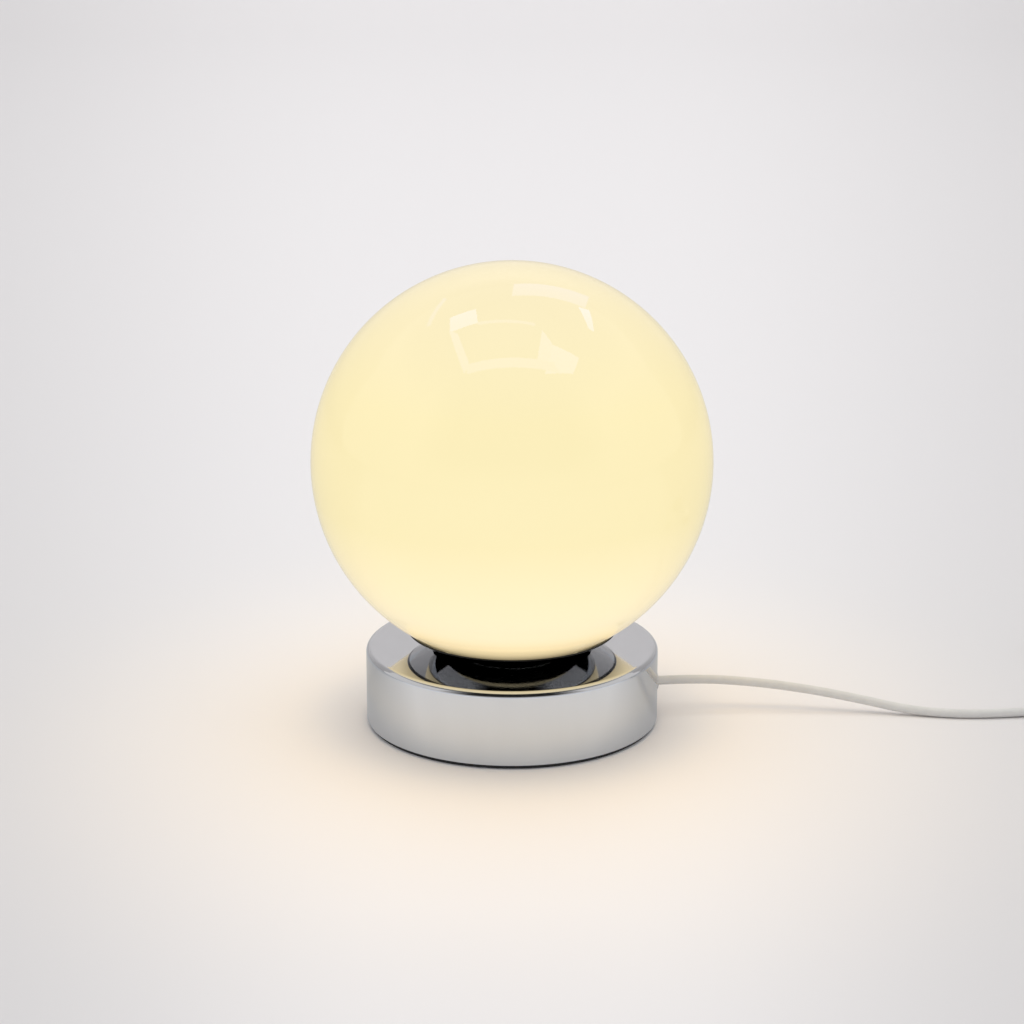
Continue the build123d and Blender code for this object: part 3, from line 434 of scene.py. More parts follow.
def foam_pad(colours):
    """Closed-cell foam: small pits over a dark tone, painted darker towards their middles as shade."""
    material, tree, shader = new_material("foam_pad")
    set_sockets(shader, {"Specular IOR Level": 0.3})
    cell = 0.6 * MM
    wall = 0.6  # of a cell, from its middle
    place = tree.nodes.new("ShaderNodeTexCoord")
    cells = tree.nodes.new("ShaderNodeTexVoronoi")
    set_sockets(cells, {"Scale": 1 / cell})
    tree.links.new(place.outputs["Object"], cells.inputs["Vector"])
    pits = cells.outputs["Distance"]
    # Darker towards each pit's middle: painted shade in the pits
    tone(tree, pits, [(0.0, shade(colours.pad, 0.6)), (wall, colours.pad)], shader.inputs["Base Color"])
    tree.links.new(ranged(tree, pits, 0.7, 0.9, 0.0, wall), shader.inputs["Roughness"])
    relief(tree, pits, 0.08 * MM, shader)
    return material


def woven_strap(colours):
    """Woven tape: crossed ribs on the strap's own UV map, which is in metres."""
    material, tree, shader = new_material("woven_strap")
    set_sockets(shader, {"Sheen Weight": 0.35, "Sheen Roughness": 0.4, "Specular IOR Level": 0.2})
    place = tree.nodes.new("ShaderNodeTexCoord")
    thread = 0.55 * MM
    scale = math.pi / (10 * thread)  # at which the node draws one rib to a thread
    ribs = []
    for direction in ("X", "Y"):
        rib = tree.nodes.new("ShaderNodeTexWave")
        rib.bands_direction = direction
        set_sockets(rib, {"Scale": scale, "Distortion": 0.6})
        tree.links.new(place.outputs["UV"], rib.inputs["Vector"])
        ribs.append(rib.outputs["Fac"])
    height = worked(tree, "MULTIPLY", *ribs)
    # Darker where the weave sinks and paler on the crowns of the threads: painted shade and light of the
    # weave
    ends = [(0.0, shade(colours.strap, 0.45)), (0.8, shade(colours.strap, 1.15))]
    tone(tree, height, ends, shader.inputs["Base Color"])
    tree.links.new(ranged(tree, height, 0.75, 0.95, 0.0, 1.0), shader.inputs["Roughness"])
    relief(tree, height, 0.15 * MM, shader)
    return material


def lit_plastic(name, colour, glow):
    """Satin opal plastic of the bulb, lit from behind."""
    material, tree, shader = new_material(name)
    set_sockets(shader, {"Emission Strength": 1.0, "Specular IOR Level": 0.4})
    cloud = object_noise(tree, 40.0, detail=2.0)
    for socket, pale, share in (("Base Color", colour, 0.96), ("Emission Color", glow, 0.97)):
        tone(tree, cloud, [(NOISE_LOW, shade(pale, share)), (NOISE_HIGH, pale)], shader.inputs[socket])
    tree.links.new(ranged(tree, cloud, 0.38, 0.46), shader.inputs["Roughness"])
    return material


# Grained finishes by material slot: name, colour, roughness, size and height of the grain in
# millimetres, and, where not plain, how metallic it is and the share by which its tone varies
GRAINED = {
    "plate_steel": ("painted_plate", (0.045, 0.045, 0.048), 0.5, 0.5, 0.03),
    "weight_iron": ("cast_weight", (0.09, 0.09, 0.09), 0.7, 1.2, 0.25, 0.6, 0.2),
    "zinc_steel": ("zinc_plate", (0.55, 0.56, 0.58), 0.32, 0.4, 0.006, 1.0, 0.08),
    "soft_ring": ("soft_ring", (0.72, 0.71, 0.67), 0.45, 0.5, 0.01),
    "holder_plastic": ("holder_plastic", (0.80, 0.80, 0.78), 0.42, 0.35, 0.012, 0.0, 0.03),
    "ceramic": ("glazed_ceramic", (0.82, 0.80, 0.75), 0.16, 1.5, 0.02, 0.0, 0.03),
    "brass": ("plain_brass", (0.70, 0.50, 0.20), 0.26, 0.4, 0.006, 1.0, 0.1),
    "bulb_metal": ("cap_sheet", (0.58, 0.57, 0.54), 0.28, 0.5, 0.008, 1.0, 0.08),
    "dark_glass": ("dark_glass", (0.02, 0.02, 0.024), 0.12, 1.5, 0.01),
    "bulb_white": ("bulb_shell", (0.83, 0.83, 0.81), 0.3, 0.4, 0.006, 0.0, 0.02),
    "phosphor": ("phosphor", (0.85, 0.62, 0.08), 0.5, 0.2, 0.005),
    "circuit_green": ("circuit_board", (0.03, 0.16, 0.07), 0.38, 0.6, 0.01, 0.0, 0.15),
    "live_brown": ("brown_core", (0.14, 0.05, 0.02), 0.4, 0.4, 0.006),
    "neutral_blue": ("blue_core", (0.02, 0.06, 0.30), 0.4, 0.4, 0.006),
    "fitting_white": ("fitting_shell", (0.80, 0.80, 0.79), 0.28, 0.45, 0.008, 0.0, 0.02),
    "nickel": ("nickel_pins", (0.62, 0.60, 0.56), 0.18, 0.4, 0.004, 1.0, 0.05),
}


def small_finishes(colours):
    """Finishes of the frame's own nodes, by their material slots."""
    finishes = {}
    for slot, (name, colour, roughness, grain, depth, *rest) in GRAINED.items():
        finishes[slot] = grained(name, colour, roughness, grain * MM, depth * MM, *rest)
    along_z = (1.0, 1.0, 0.06)
    finishes["spring_steel"] = grained(
        "spring_sheet", (0.50, 0.51, 0.53), 0.24, 0.3 * MM, 0.006 * MM, 1.0, 0.08, along_z, Anisotropic=0.4
    )
    finishes["cord_white"] = grained("white_sheath", colours.sheath, 0.4, 0.5 * MM, 0.012 * MM, 0.0, 0.025)
    finishes["bulb_opal"] = lit_plastic("bulb_diffuser_lit", (0.40, 0.37, 0.30), (0.70, 0.56, 0.30))
    return finishes


class LAMP_OT_globe(bpy.types.Operator):
    """Makes the opal glass globe."""

    bl_idname = "lamp.globe"
    bl_label = "Glass globe"

    inside_steps = 64
    outside_steps = 144

    def execute(self, context):
        sizes = context.scene.lamp_sizes
        radius = sizes.globe_radius
        wall = sizes.glass_wall
        bottom, top = levels("globe")
        centre = top - radius
        middle = radius - wall / 2
        mouth = math.asin((sizes.mouth_radius + wall / 2) / middle)
        inside = sphere_arc(radius - wall, centre, math.pi, mouth, self.inside_steps)
        outside = sphere_arc(radius, centre, mouth, math.pi, self.outside_steps)
        rim = rim_round(middle, centre, mouth, wall, -1)
        profile = np.vstack([inside, rim, outside])
        mesh = new_mesh("glass_globe", *lathe(profile, sizes.segments, False))
        glass = opal_glass(context.scene.lamp_colours, bottom, top)
        place_piece("glass_globe", mesh, glass, "globe", ["globe"])
        return {"FINISHED"}


class LAMP_OT_base(bpy.types.Operator):
    """Makes the chrome base, its neck and dish, and the pad."""

    bl_idname = "lamp.base"
    bl_label = "Chrome base"

    cut = 0.2 * MM  # rounding of a cut edge
    pad_edge = 0.6 * MM
    dish_steps = 24
    # Depth of the painted shade on the dish's top edge
    shaded_rim_walls = 1.5  # depth of the dish's dark rim, in walls

    def execute(self, context):
        sizes = context.scene.lamp_sizes
        colours = context.scene.lamp_colours
        chrome = chrome_plate(colours)
        turned = {
            "base_shell": self.shell_profile(sizes),
            "neck_ring": self.neck_profile(sizes),
            "dish": self.dish_profile(sizes),
        }
        # Level above which the dish is painted dark, as shade where it meets the glass
        shaded_rim_from = float(turned["dish"][:, 1].max()) - sizes.dish_wall * self.shaded_rim_walls
        finishes = {"dish": dish_chrome_shaded_rim(colours, shaded_rim_from)}
        for node, profile in turned.items():
            name = "chrome_" + node
            mesh = new_mesh(name, *lathe(profile, sizes.segments, True))
            place_piece(name, mesh, finishes.get(node, chrome), "base", [node])
        self.make_pad(sizes, colours)
        return {"FINISHED"}

    def shell_profile(self, sizes):
        """Section of the base: a sheet over its top and down its side."""
        low, high = levels("base_shell")
        wall = sizes.shell_wall
        radius = sizes.base_radius
        hole = sizes.tube_hole
        outside = [(radius, low), (radius, high), (hole, high)]
        inside = [(hole, high - wall), (radius - wall, high - wall), (radius - wall, low)]
        cut = self.cut
        radii = [2 * cut, sizes.base_edge, cut, cut, sizes.base_edge - wall, cut]
        return rounded(outside + inside, radii, True)

    def neck_profile(self, sizes):
        """Section of the neck: a plain thick ring."""
        low, high = levels("neck_ring")
        radius = sizes.neck_radius
        hole = sizes.tube_hole
        return rounded([(radius, low), (radius, high), (hole, high), (hole, low)], [self.cut] * 4, True)

    def dish_profile(self, sizes):
        """Section of the dish: flat floor, spherical wall that follows the glass, half-round rim."""
        low, _ = levels("dish")
        wall = sizes.dish_wall
        centre = levels("globe")[1] - sizes.globe_radius
        inside = sizes.globe_radius + sizes.dish_gap
        outside = inside + wall
        rim = math.asin((sizes.dish_radius - wall / 2) / (inside + wall / 2))
        under_edge = math.acos((centre - low) / outside)
        floor_edge = math.acos((centre - low - wall) / inside)
        under = sphere_arc(outside, centre, under_edge, rim, self.dish_steps)
        over = sphere_arc(inside, centre, rim, floor_edge, self.dish_steps)
        edge = rim_round(inside + wall / 2, centre, rim, wall, 1)[::-1]
        hem = np.array([[MIRROR_HEM, 0]])
        flat_under = np.array([[sizes.tube_hole, low]])
        flat_over = np.array([[sizes.tube_hole, low + wall]])
        return np.vstack([flat_under, under[:1] - hem, under, edge, over, over[-1:] - hem, flat_over])

    def make_pad(self, sizes, colours):
        low, high = levels("base_pad")
        radius = sizes.pad_radius
        line = [(0, low), (radius, low), (radius, high), (0, high)]
        profile = rounded(line, [self.pad_edge] * 2, False)
        mesh = new_mesh("foam_pad", *lathe(profile, sizes.segments, False))
        place_piece("foam_pad", mesh, foam_pad(colours), "base", ["base_pad"])


# Route of the lead from the base to the switch, in millimetres
LEAD_ROUTE = [
    (74.274, 11.764, 15.5), (94.028, 14.892, 15.5), (121.0, 15.4, 13.8), (150.0, 11.8, 11.2),
    (178.0, 7.8, 6.9), (204.0, 2.2, 2.6), (230.0, -2.4, 2.3), (256.0, -0.2, 2.4),
    (277.0, 2.2, 3.2), (294.5, 2.6, 7.5), (312.5, 2.6, 7.5),
]
# From the switch to the coil
LINK_ROUTE = [
    (361.5, 2.6, 7.5), (380.0, 2.6, 7.5), (399.5, 3.4, 5.8), (418.5, 6.4, 4.4),
    (435.0, 13.0, 3.6), (447.3, 24.5, 3.4),
]
# From the coil to the plug
TAIL_ROUTE = [
    (393.0, 93.8, 16.6), (379.0, 94.6, 10.0), (364.0, 95.0, 6.85), (351.0, 95.0, 6.85),
]
# Coil, in millimetres
COIL_CENTRE = (424.0, 62.0)
COIL_LOW = 3.45  # middle of its lowest turns above the floor
COIL_RADIUS = 19.6  # its innermost turns
COIL_STEP = 5.2  # from a turn to the next one out
COIL_LAYER = 5.25  # from a layer to the next one up
COIL_TURNS_PER_LAYER = 2
COIL_LAYERS = 4
COIL_TURNS = 8.25
COIL_POINTS_PER_TURN = 16
COIL_ROUNDING = 0.25  # of a turn, where the spiral reverses
COIL_STRAIGHT = 4.6  # straight at each end
LINK_LAST_RUN = 15.0  # before the coil
TAIL_FIRST_RUN = 13.0  # after it


def coil_points(turn):
    """Middle of the lead after a number of turns, as an array of points in millimetres.

    The turns spiral in and out at a steady step, a layer at a time. Near the turn where the
    spiral reverses, its distance from that turn is rounded off, and the lead climbs one layer
    on a half cosine.
    """
    nearest = np.clip(np.round(turn / COIL_TURNS_PER_LAYER), 1, COIL_LAYERS - 1)
    off = turn - nearest * COIL_TURNS_PER_LAYER
    distance = np.abs(off)
    near = distance**2 / (2 * COIL_ROUNDING) + COIL_ROUNDING / 2
    distance = np.where(distance < COIL_ROUNDING, near, distance)
    inward = np.where(nearest % 2 == 1, distance, COIL_TURNS_PER_LAYER - distance)
    radius = COIL_RADIUS + COIL_STEP * inward
    climb = np.clip(off / (2 * COIL_ROUNDING) + 0.5, 0, 1)
    level = nearest - 1 + (1 - np.cos(np.pi * climb)) / 2
    angle = 2 * np.pi * turn
    x = COIL_CENTRE[0] + radius * np.cos(angle)
    y = COIL_CENTRE[1] + radius * np.sin(angle)
    return np.stack([x, y, COIL_LOW + COIL_LAYER * level], axis=-1)


def put_away_route():
    """Link, coil and tail of the lead on one line, in millimetres."""
    count = round(COIL_TURNS * COIL_POINTS_PER_TURN) + 1
    turns = coil_points(np.linspace(0, COIL_TURNS, count))
    small = 1e-4
    ends = coil_points(np.array([-small, small, COIL_TURNS - small, COIL_TURNS + small]))
    first = (ends[1] - ends[0]) / np.linalg.norm(ends[1] - ends[0])
    last = (ends[3] - ends[2]) / np.linalg.norm(ends[3] - ends[2])
    before = turns[0] - first * np.array([[COIL_STRAIGHT + LINK_LAST_RUN], [COIL_STRAIGHT]])
    after = turns[-1] + last * np.array([[COIL_STRAIGHT], [COIL_STRAIGHT + TAIL_FIRST_RUN]])
    return np.vstack([LINK_ROUTE, before, turns, after, TAIL_ROUTE])


def cord_curve(name, route, diameter, steps):
    """Round lead on one smooth line with the route's points as its control points."""
    curve = bpy.data.curves.new(name, "CURVE")
    curve.dimensions = "3D"
    line = curve.splines.new("NURBS")
    line.points.add(len(route) - 1)
    places = np.column_stack([np.asarray(route) * MM, np.ones(len(route))])
    line.points.foreach_set("co", places.ravel())
    line.order_u = 3
    line.use_endpoint_u = True
    curve.resolution_u = steps
    curve.bevel_depth = diameter / 2
    curve.bevel_resolution = 6
    curve.use_fill_caps = True
    return curve


class LAMP_OT_lead(bpy.types.Operator):
    """Makes the white lead and its put-away coil."""

    bl_idname = "lamp.lead"
    bl_label = "Lead"

    def execute(self, context):
        diameter = context.scene.lamp_sizes.cord_diameter
        lead = self.lay("lead", LEAD_ROUTE, diameter, steps=12, replaced=["cord_lead"])
        route = put_away_route()
        put_away = ["cord_link", "cord_coil", "cord_tail"]
        rest = self.lay("lead_put_away", route, diameter, steps=4, replaced=put_away)
        return {"FINISHED"}

    def lay(self, name, route, diameter, steps, replaced):
        """Puts a stretch of the lead in place of its nodes."""
        curve = cord_curve(name, route, diameter, steps)
        return place_piece(name, curve, bpy.data.materials["white_sheath"], "base", replaced)


class LAMP_OT_strap(bpy.types.Operator):
    """Makes the woven tie round the coil."""

    bl_idname = "lamp.strap"
    bl_label = "Coil tie"

    azimuth = math.radians(230)  # of the tie, about the coil
    gap = 0.25 * MM  # strap to the turns
    corner = 2.0 * MM
    edge = 0.35 * MM
    edge_steps = 5

    def execute(self, context):
        sizes = context.scene.lamp_sizes
        cord = sizes.cord_diameter / 2
        thickness = sizes.strap_thickness
        turns = np.arange(int(COIL_TURNS)) + self.azimuth / (2 * np.pi)
        middles = np.linalg.norm(coil_points(turns)[:, :2] - COIL_CENTRE, axis=1) * MM
        middles *= np.cos(np.pi / COIL_POINTS_PER_TURN)  # the spline lies inside its points
        nearest = middles.min() - cord
        inner = nearest - sizes.strap_width**2 / (8 * nearest) - self.gap
        outer = middles.max() + cord + self.gap
        low = COIL_LOW * MM - self.gap - cord
        high = (COIL_LOW + COIL_LAYER * (COIL_LAYERS - 1)) * MM + self.gap + cord
        middle = np.array([inner + outer, low + high]) / 2
        half = np.array([outer - inner, high - low]) / 2 + thickness / 2
        square = np.array([(-1, -1), (1, -1), (1, 1), (-1, 1)])
        path = rounded(square * half + middle, [self.corner + thickness / 2] * 4, True)
        width = np.array([sizes.strap_width, thickness]) / 2
        section = rounded(square * width, [self.edge] * 4, True, self.edge_steps)
        points, faces, corner = self.band(path, section)
        mesh = new_mesh("coil_strap", points, faces)
        self.map_strap(mesh, path, section, corner)
        weave = woven_strap(context.scene.lamp_colours)
        place_piece("coil_strap", mesh, weave, "base", ["coil_tie"])
        return {"FINISHED"}

    def band(self, path, section):
        """Section carried round a closed path: path + height * normal + side * across.

        The path lies in the upright plane through the coil's axis, and across is square to it.
        """
        ahead = np.roll(path, -1, axis=0) - np.roll(path, 1, axis=0)
        ahead /= np.linalg.norm(ahead, axis=1, keepdims=True)
        normal = np.stack([ahead[:, 1], -ahead[:, 0]], axis=1)
        place = path[:, None, :] + normal[:, None, :] * section[None, :, 1:]
        out = np.array([math.cos(self.azimuth), math.sin(self.azimuth)])
        across = np.array([-out[1], out[0]])
        flat = place[..., :1] * out + section[None, :, :1] * across
        flat = flat + np.array(COIL_CENTRE) * MM
        points = np.concatenate([flat, place[..., 1:]], axis=-1).reshape(-1, 3)
        faces, corner = grid_faces(len(path), len(section), True, True)
        return points, faces, corner

    def map_strap(self, mesh, path, section, corner):
        """UV map in metres: length round the path and place across the strap."""
        steps = np.linalg.norm(np.roll(path, -1, axis=0) - path, axis=1)
        along = np.concatenate([[0], np.cumsum(steps)])
        side = np.concatenate([section[:, 0], section[:1, 0]])
        places = np.stack([along[corner[..., 0]], side[corner[..., 1]]], axis=-1)
        layer = mesh.uv_layers.new(name="strap")
        layer.data.foreach_set("uv", places.ravel())


class LAMP_OT_plug(bpy.types.Operator):
    """Makes the ribbed strain relief of the plug."""

    bl_idname = "lamp.plug"
    bl_label = "Plug relief"

    ribs = 5
    groove = 0.55 * MM  # depth between the ribs
    squareness = 2.5  # of the ribs
    thin_end = 1.35  # to the lead
    bore = 1.02  # to the lead
    steps = 161
    segments = 64

    def execute(self, context):
        low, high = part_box("plug_relief")
        length = high.x - low.x
        cord = context.scene.lamp_sizes.cord_diameter / 2
        thin = cord * self.thin_end
        thick = (high.z - low.z) / 2
        along = np.linspace(0, 1, self.steps)
        beat = np.clip(np.cos(2 * np.pi * (self.ribs * along + 0.5)) * self.squareness, -1, 1)
        radius = thin + (thick - thin) * along - self.groove * (1 - beat) / 2 * (along < 1)
        wall = np.stack([radius, length * along], axis=1)
        bore = np.array([[cord * self.bore, length], [cord * self.bore, 0]])
        points, faces = lathe(np.vstack([wall, bore]), self.segments, True)
        middle = (low + high) / 2
        up, side, back = points.T
        placed = np.stack([high.x - back, middle.y + side, middle.z + up], axis=1)
        mesh = new_mesh("ribbed_relief", placed, faces)
        sheath = bpy.data.materials["white_sheath"]
        place_piece("ribbed_relief", mesh, sheath, "base", ["plug_relief"])
        return {"FINISHED"}


class LAMP_OT_finishes(bpy.types.Operator):
    """Gives every node of the frame its finish."""

    bl_idname = "lamp.finishes"
    bl_label = "Finishes"

    def execute(self, context):
        finishes = small_finishes(context.scene.lamp_colours)
        for part in frame["record"]["subparts"]:
            material = finishes.get(part["material_slot"])
            if material:
                NODES[part["node"]].material_slots[0].material = material
        return {"FINISHED"}


IMAGE_SIZE = 1024
SENSOR = 36.0
PANE_DISTANCE = 1.8  # of the softbox panes from the glass
# Corners, in the picture, of the faint panes that the glass mirrors, with their strengths
PANES = {
    "lower_bar": (2.9, [(467, 374), (562, 374), (560, 364), (466, 365)]),
    "left_bar": (3.1, [(464, 374), (469, 363), (458, 334), (449, 330)]),
    "left_patch": (4.8, [(450, 333), (478, 323), (476, 309), (450, 318)]),
    "right_post": (3.5, [(536, 367), (556, 367), (553, 345), (542, 330)]),
    "right_patch": (4.0, [(545, 374), (573, 374), (579, 358), (553, 345)]),
    "upper_line": (2.1, [(478, 325), (535, 326), (535, 323), (478, 322)]),
    "right_streak": (4.8, [(588, 328), (594, 332), (589, 310), (578, 307)]),
    "left_streak": (2.0, [(426, 327), (431, 325), (447, 299), (444, 298)]),
    "broad_band": (2.3, [(512, 296), (585, 308), (589, 297), (514, 284)]),
}
PANE_COLOUR = (0.3, 0.4, 1.0)  # daylight, cool beside the warm glass


class LAMP_OT_stage(bpy.types.Operator):
    """Makes the floor, the light and the camera."""

    bl_idname = "lamp.stage"
    bl_label = "Stage"

    def execute(self, context):
        scene = context.scene
        stage = scene.lamp_stage
        scene.view_settings.view_transform = "Standard"
        self.make_floor(stage)
        self.make_flag()
        self.make_ceiling()
        self.make_sky(scene, stage)
        self.make_lamps(stage)
        self.make_glow(stage)
        self.make_camera(scene, stage)
        self.make_panes(stage)
        return {"FINISHED"}

    def make_floor(self, stage):
        """Floor that turns up into a backdrop: a line of y and z carried along x."""
        front = -8.0
        bend = 2.6
        radius = 1.4
        wall_top = 4.5
        half = 8.0
        rise = np.linspace(0, np.pi / 2, 33)
        arc = np.stack([bend + radius * np.sin(rise), radius - radius * np.cos(rise)], axis=1)
        line = np.vstack([[(front, 0.0)], arc, [(bend + radius, wall_top)]])
        points = np.column_stack([np.tile([half, -half], len(line)), np.repeat(line, 2, axis=0)])
        faces, _ = grid_faces(len(line), 2, False, False)
        mesh = new_mesh("floor", points, faces)
        mesh.materials.append(self.floor_paper(stage))
        add_object("floor", mesh)

    def floor_paper(self, stage):
        """Matt paper, painted pale along a strip from front to back and darker to the sides as a
        painted fall-off of the light, and with tones of its own in mirrors, a painted reflection.

        The strip is narrowest at the lamp. Mirrors show the paper dim behind the lamp, a painted
        shade, and pale again where it rises.
        """
        strip_middle = -0.35  # y where the strip is narrowest
        strip_width = 0.9  # there, as a measure for its fade
        painted_reflection_from = -0.1  # y where the mirrored tones start
        rise = (0.2, 0.8)  # heights between which the mirrored paper turns pale
        material, tree, shader = new_material("paper_floor")
        set_sockets(shader, {"Roughness": 0.9, "Specular IOR Level": 0.1})
        x, y, z = own_axes(tree)
        run = worked(tree, "ABSOLUTE", worked(tree, "SUBTRACT", y, strip_middle))
        width = worked(tree, "ADD", run, strip_width)
        aside = worked(tree, "DIVIDE", worked(tree, "ABSOLUTE", x), width)
        behind = worked(tree, "SUBTRACT", y, painted_reflection_from)
        path = tree.nodes.new("ShaderNodeLightPath")
        seen, mirrored = self.colour_mix(tree, path.outputs["Is Glossy Ray"], shader.inputs["Base Color"])
        # Pale along the strip and darker to the sides: painted fall-off of the light
        across = [(0.04, stage.floor), (0.26, stage.floor_painted_shade)]  # shares of the width
        tone(tree, aside, across, seen, "EASE")
        flat, risen = self.colour_mix(tree, ranged(tree, z, 0.0, 1.0, *rise), mirrored)
        # In mirrors only: bluish paper, painted dim behind the lamp and pale where it rises, as painted
        # reflection and shade in the chrome
        near = stage.floor_painted_reflection
        dim = shade(near, 0.60)
        far = shade(stage.floor, 0.72)
        tone(tree, behind, [(0.03, near), (0.145, dim), (0.35, dim), (0.7, far)], flat)  # by metres
        risen.default_value = (*shade(stage.floor, 0.94), 1.0)
        return material

    def colour_mix(self, tree, share, target):
        """Sends a mix of two colours to a socket, and gives the sockets of the two."""
        mix = tree.nodes.new("ShaderNodeMix")
        mix.data_type = "RGBA"
        factor, first, second = (mix.inputs[i] for i in (0, 6, 7))
        tree.links.new(share, factor)
        tree.links.new(mix.outputs[2], target)
        return first, second

    def make_flag(self):
        """Dark card in front: part of a sphere round the lamp, from low to high over the camera.

        With e the height angle and s the side angle, a point is
        (R cos e sin s, -R cos e cos s, R sin e). It is clear towards its sides and its foot.
        """
        radius = 2.6
        lowest = math.radians(3)
        highest = math.radians(68)
        widest = math.radians(62)
        rows = 32
        columns = 49
        rise = np.linspace(lowest, highest, rows)[:, None]
        side = np.linspace(-widest, widest, columns)[None, :]
        x = radius * np.cos(rise) * np.sin(side)
        y = -radius * np.cos(rise) * np.cos(side)
        z = radius * np.sin(rise) * np.ones_like(side)
        points = np.stack([x, y, z], axis=-1).reshape(-1, 3)
        faces, _ = grid_faces(rows, columns, False, False)
        cloth, tree, alpha = self.card_cloth("flag_cloth")
        across, ahead, up = own_axes(tree)
        aside = worked(tree, "DIVIDE", worked(tree, "ABSOLUTE", across), worked(tree, "ABSOLUTE", ahead))
        sides = ranged(tree, aside, 1.0, 0.0, 0.7, 1.7)  # by the tangent of s
        foot = ranged(tree, up, 0.0, 1.0, 0.1, 0.9)  # by metres
        tree.links.new(worked(tree, "MULTIPLY", sides, foot), alpha)
        self.hang("front_flag", points, faces, cloth)

    def make_ceiling(self):
        """Dark round card overhead, clear towards its edge: rings of points at one height."""
        height = 2.6
        radius = 3.2
        clear_from = 1.2
        rings = np.linspace(0, radius, 9)
        profile = np.stack([rings, np.full_like(rings, height)], axis=1)
        points, faces = lathe(profile, 64, False)
        cloth, tree, alpha = self.card_cloth("ceiling_cloth")
        squares = [worked(tree, "MULTIPLY", axis, axis) for axis in own_axes(tree)[:2]]
        away = worked(tree, "SQRT", worked(tree, "ADD", *squares))
        tree.links.new(ranged(tree, away, 1.0, 0.0, clear_from, radius), alpha)
        self.hang("ceiling_card", points, faces, cloth)

    def card_cloth(self, name):
        """Dark cloth of a card: the finish, its tree and its alpha."""
        cloth = grained(name, (0.02, 0.02, 0.02), 0.9, 3 * MM, 0.2 * MM)
        tree = cloth.node_tree
        return cloth, tree, tree.nodes[SHADER].inputs["Alpha"]

    def hang(self, name, points, faces, material):
        """Puts up a card or a pane that only mirrors show."""
        mesh = new_mesh(name, points, faces)
        mesh.materials.append(material)
        card = add_object(name, mesh)
        hide_from(card, "camera", "diffuse", "shadow")
        return card

    def make_sky(self, scene, stage):
        """Even soft light, and plain pale surroundings to the eye, in metal and in glass."""
        world = bpy.data.worlds.new("soft_sky")
        scene.world = world
        world.use_nodes = True
        tree = world.node_tree
        light = tree.nodes["Background"]
        set_sockets(light, {"Color": (1.0, 1.0, 1.0), "Strength": stage.sky})
        pale = tree.nodes.new("ShaderNodeBackground")
        set_sockets(pale, {"Color": stage.ground})
        path = tree.nodes.new("ShaderNodeLightPath")
        seen = path.outputs["Is Camera Ray"]
        for ray in ("Is Glossy Ray", "Is Transmission Ray"):
            seen = worked(tree, "MAXIMUM", seen, path.outputs[ray])
        mix = tree.nodes.new("ShaderNodeMixShader")
        tree.links.new(seen, mix.inputs["Fac"])
        tree.links.new(light.outputs["Background"], mix.inputs[1])
        tree.links.new(pale.outputs["Background"], mix.inputs[2])
        tree.links.new(mix.outputs["Shader"], tree.nodes["World Output"].inputs["Surface"])

    def make_lamps(self, stage):
        """Overhead light and a wash on the backdrop."""
        tilt = math.radians(38)
        self.softbox("overhead", stage.key_power, (3.2, 3.2), (0.0, 0.2, 2.8), 0.0)
        self.softbox("backdrop_wash", stage.wash_power, (3.0, 0.8), (0.0, 2.3, 3.3), tilt)

    def softbox(self, name, power, size, place, tilt):
        box = bpy.data.lights.new(name, "AREA")
        box.shape = "RECTANGLE"
        box.size, box.size_y = size
        box.energy = power
        lamp = add_object(name, box)
        lamp.location = place
        lamp.rotation_euler = (tilt, 0.0, 0.0)
        hide_from(lamp, "camera", "glossy")

    def collected(self, name, *things):
        """Collection of objects for a light to be linked to."""
        group = bpy.data.collections.new(name)
        for thing in things:
            group.objects.link(bpy.data.objects[thing])
        return group

    def make_glow(self, stage):
        """Warm pool that the lamp throws on the floor.

        All pieces shade one share of it, and only the base shades the other.
        """
        lit = self.collected("lit_by_glow", "floor", "lead")
        base = self.collected("base_in_glow", "chrome_base_shell")
        for name, share, shaders in (("lamp_glow", 0.54, None), ("lamp_glow_near", 0.46, base)):
            warm = bpy.data.lights.new(name, "SPOT")
            warm.energy = stage.glow_power * share
            warm.color = stage.glow
            warm.spot_size = math.radians(27)
            warm.spot_blend = 1.0
            warm.shadow_soft_size = 0.18
            glow = add_object(name, warm)
            glow.location = (0.0, -0.05, 1.0)
            glow.scale = (0.7, 1.0, 1.0)
            hide_from(glow, "camera", "glossy")
            glow.light_linking.receiver_collection = lit
            if shaders:
                glow.light_linking.blocker_collection = shaders

    def make_camera(self, scene, stage):
        lens = bpy.data.cameras.new("view")
        lens.lens = stage.focal_length
        lens.sensor_width = SENSOR
        camera = add_object("view", lens)
        camera.location = (0.0, -stage.camera_back, stage.camera_height)
        camera.rotation_euler = (math.pi / 2 - stage.camera_pitch, 0.0, 0.0)
        scene.camera = camera

    def make_panes(self, stage):
        """Softbox panes that stand where the glass mirrors them to the camera, and light it alone."""
        glass = self.collected("lit_by_panes", "glass_globe")
        for name, (strength, corners) in PANES.items():
            points = self.mirrored(np.array(corners, float), stage)
            material, tree, shader = new_material("pane_" + name)
            tree.nodes.remove(shader)
            light = tree.nodes.new("ShaderNodeEmission")
            set_sockets(light, {"Color": PANE_COLOUR, "Strength": strength})
            tree.links.new(light.outputs["Emission"], tree.nodes["Material Output"].inputs["Surface"])
            pane = self.hang("pane_" + name, points, np.array([[0, 1, 2, 3]]), material)
            pane.light_linking.receiver_collection = glass

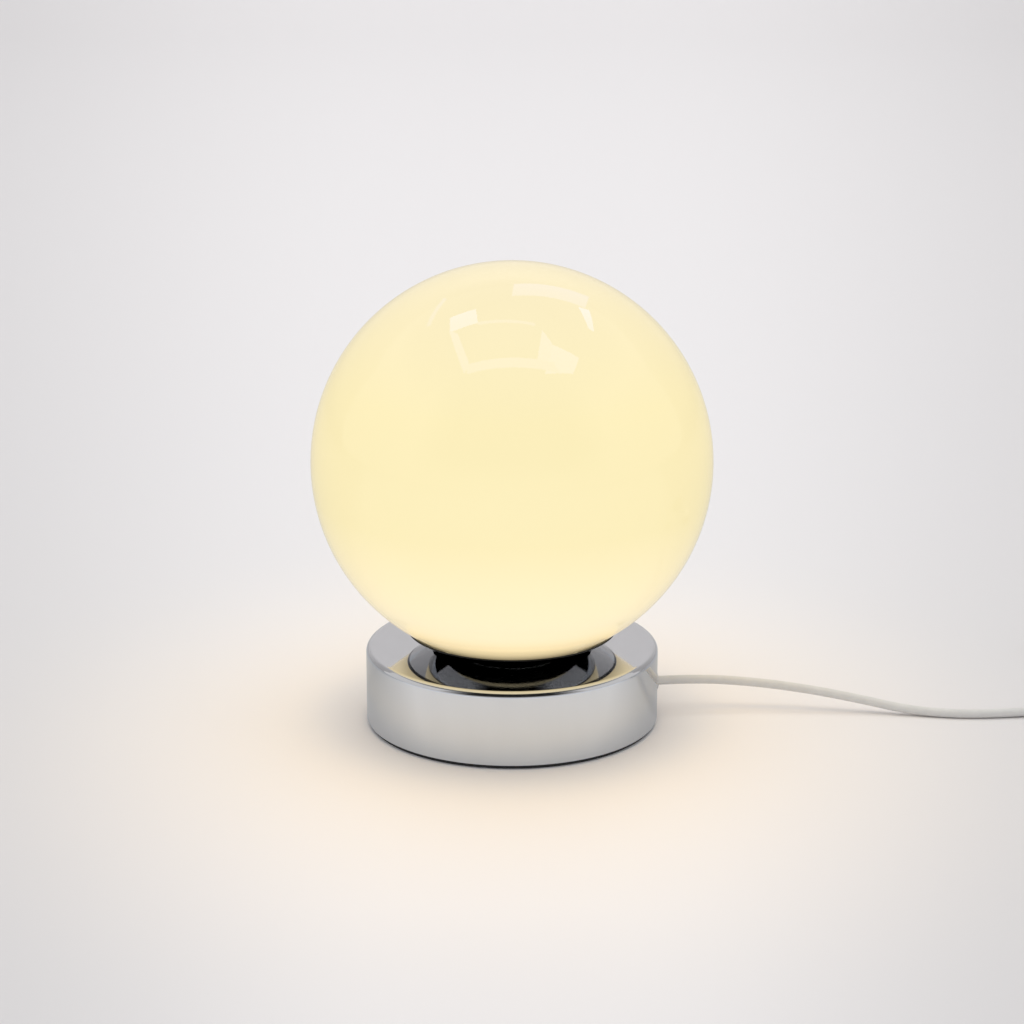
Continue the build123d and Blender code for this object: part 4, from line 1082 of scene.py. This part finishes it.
    def mirrored(self, pixels, stage):
        """Where a line of sight through each pixel goes, PANE_DISTANCE after the globe turns it back.

        The sight line is camera + t * d. It meets the sphere at the smaller root of
        |camera + t d - centre| = R, and leaves along d - 2 (d . n) n.
        """
        focal = stage.focal_length / SENSOR * IMAGE_SIZE
        flat = (pixels - IMAGE_SIZE / 2) / focal
        turn = stage.camera_pitch
        side = flat[:, 0]
        ahead = math.cos(turn) - flat[:, 1] * math.sin(turn)
        up = -math.sin(turn) - flat[:, 1] * math.cos(turn)
        sight = np.stack([side, ahead, up], axis=1)
        sight /= np.linalg.norm(sight, axis=1, keepdims=True)
        camera = np.array([0.0, -stage.camera_back, stage.camera_height])
        radius = reach("globe")
        centre = np.array([0.0, 0.0, levels("globe")[1] - radius])
        back = camera - centre
        half = sight @ back
        depth = -half - np.sqrt(half**2 - back @ back + radius**2)
        place = camera + sight * depth[:, None]
        normal = (place - centre) / radius
        turned = sight - 2 * (sight * normal).sum(1, keepdims=True) * normal
        return place + turned * PANE_DISTANCE


class LAMP_PT_panel(bpy.types.Panel):
    """Sidebar list of the lamp's pieces, sizes and colours."""

    bl_label = "Table lamp"
    bl_idname = "LAMP_PT_panel"
    bl_space_type = "VIEW_3D"
    bl_region_type = "UI"
    bl_category = "Lamp"

    def draw(self, context):
        for operator in OPERATORS:
            self.layout.operator(operator.bl_idname)
        scene = context.scene
        for group in (scene.lamp_sizes, scene.lamp_colours, scene.lamp_stage):
            box = self.layout.box()
            for name in group.__annotations__:
                box.prop(group, name)


GROUPS = {"lamp_sizes": LampSizes, "lamp_colours": LampColours, "lamp_stage": LampStage}
OPERATORS = [
    LAMP_OT_finishes,
    LAMP_OT_globe,
    LAMP_OT_base,
    LAMP_OT_strap,
    LAMP_OT_plug,
    LAMP_OT_lead,
    LAMP_OT_stage,
]


def register():
    for kind in [*GROUPS.values(), *OPERATORS, LAMP_PT_panel]:
        bpy.utils.register_class(kind)
    for name, kind in GROUPS.items():
        setattr(bpy.types.Scene, name, bpy.props.PointerProperty(type=kind))


def unregister():
    for name in GROUPS:
        delattr(bpy.types.Scene, name)
    for kind in reversed([*GROUPS.values(), *OPERATORS, LAMP_PT_panel]):
        bpy.utils.unregister_class(kind)


def main():
    register()
    for operator in OPERATORS:
        group, name = operator.bl_idname.split(".")
        getattr(getattr(bpy.ops, group), name)()


if __name__ == "__main__":
    main()
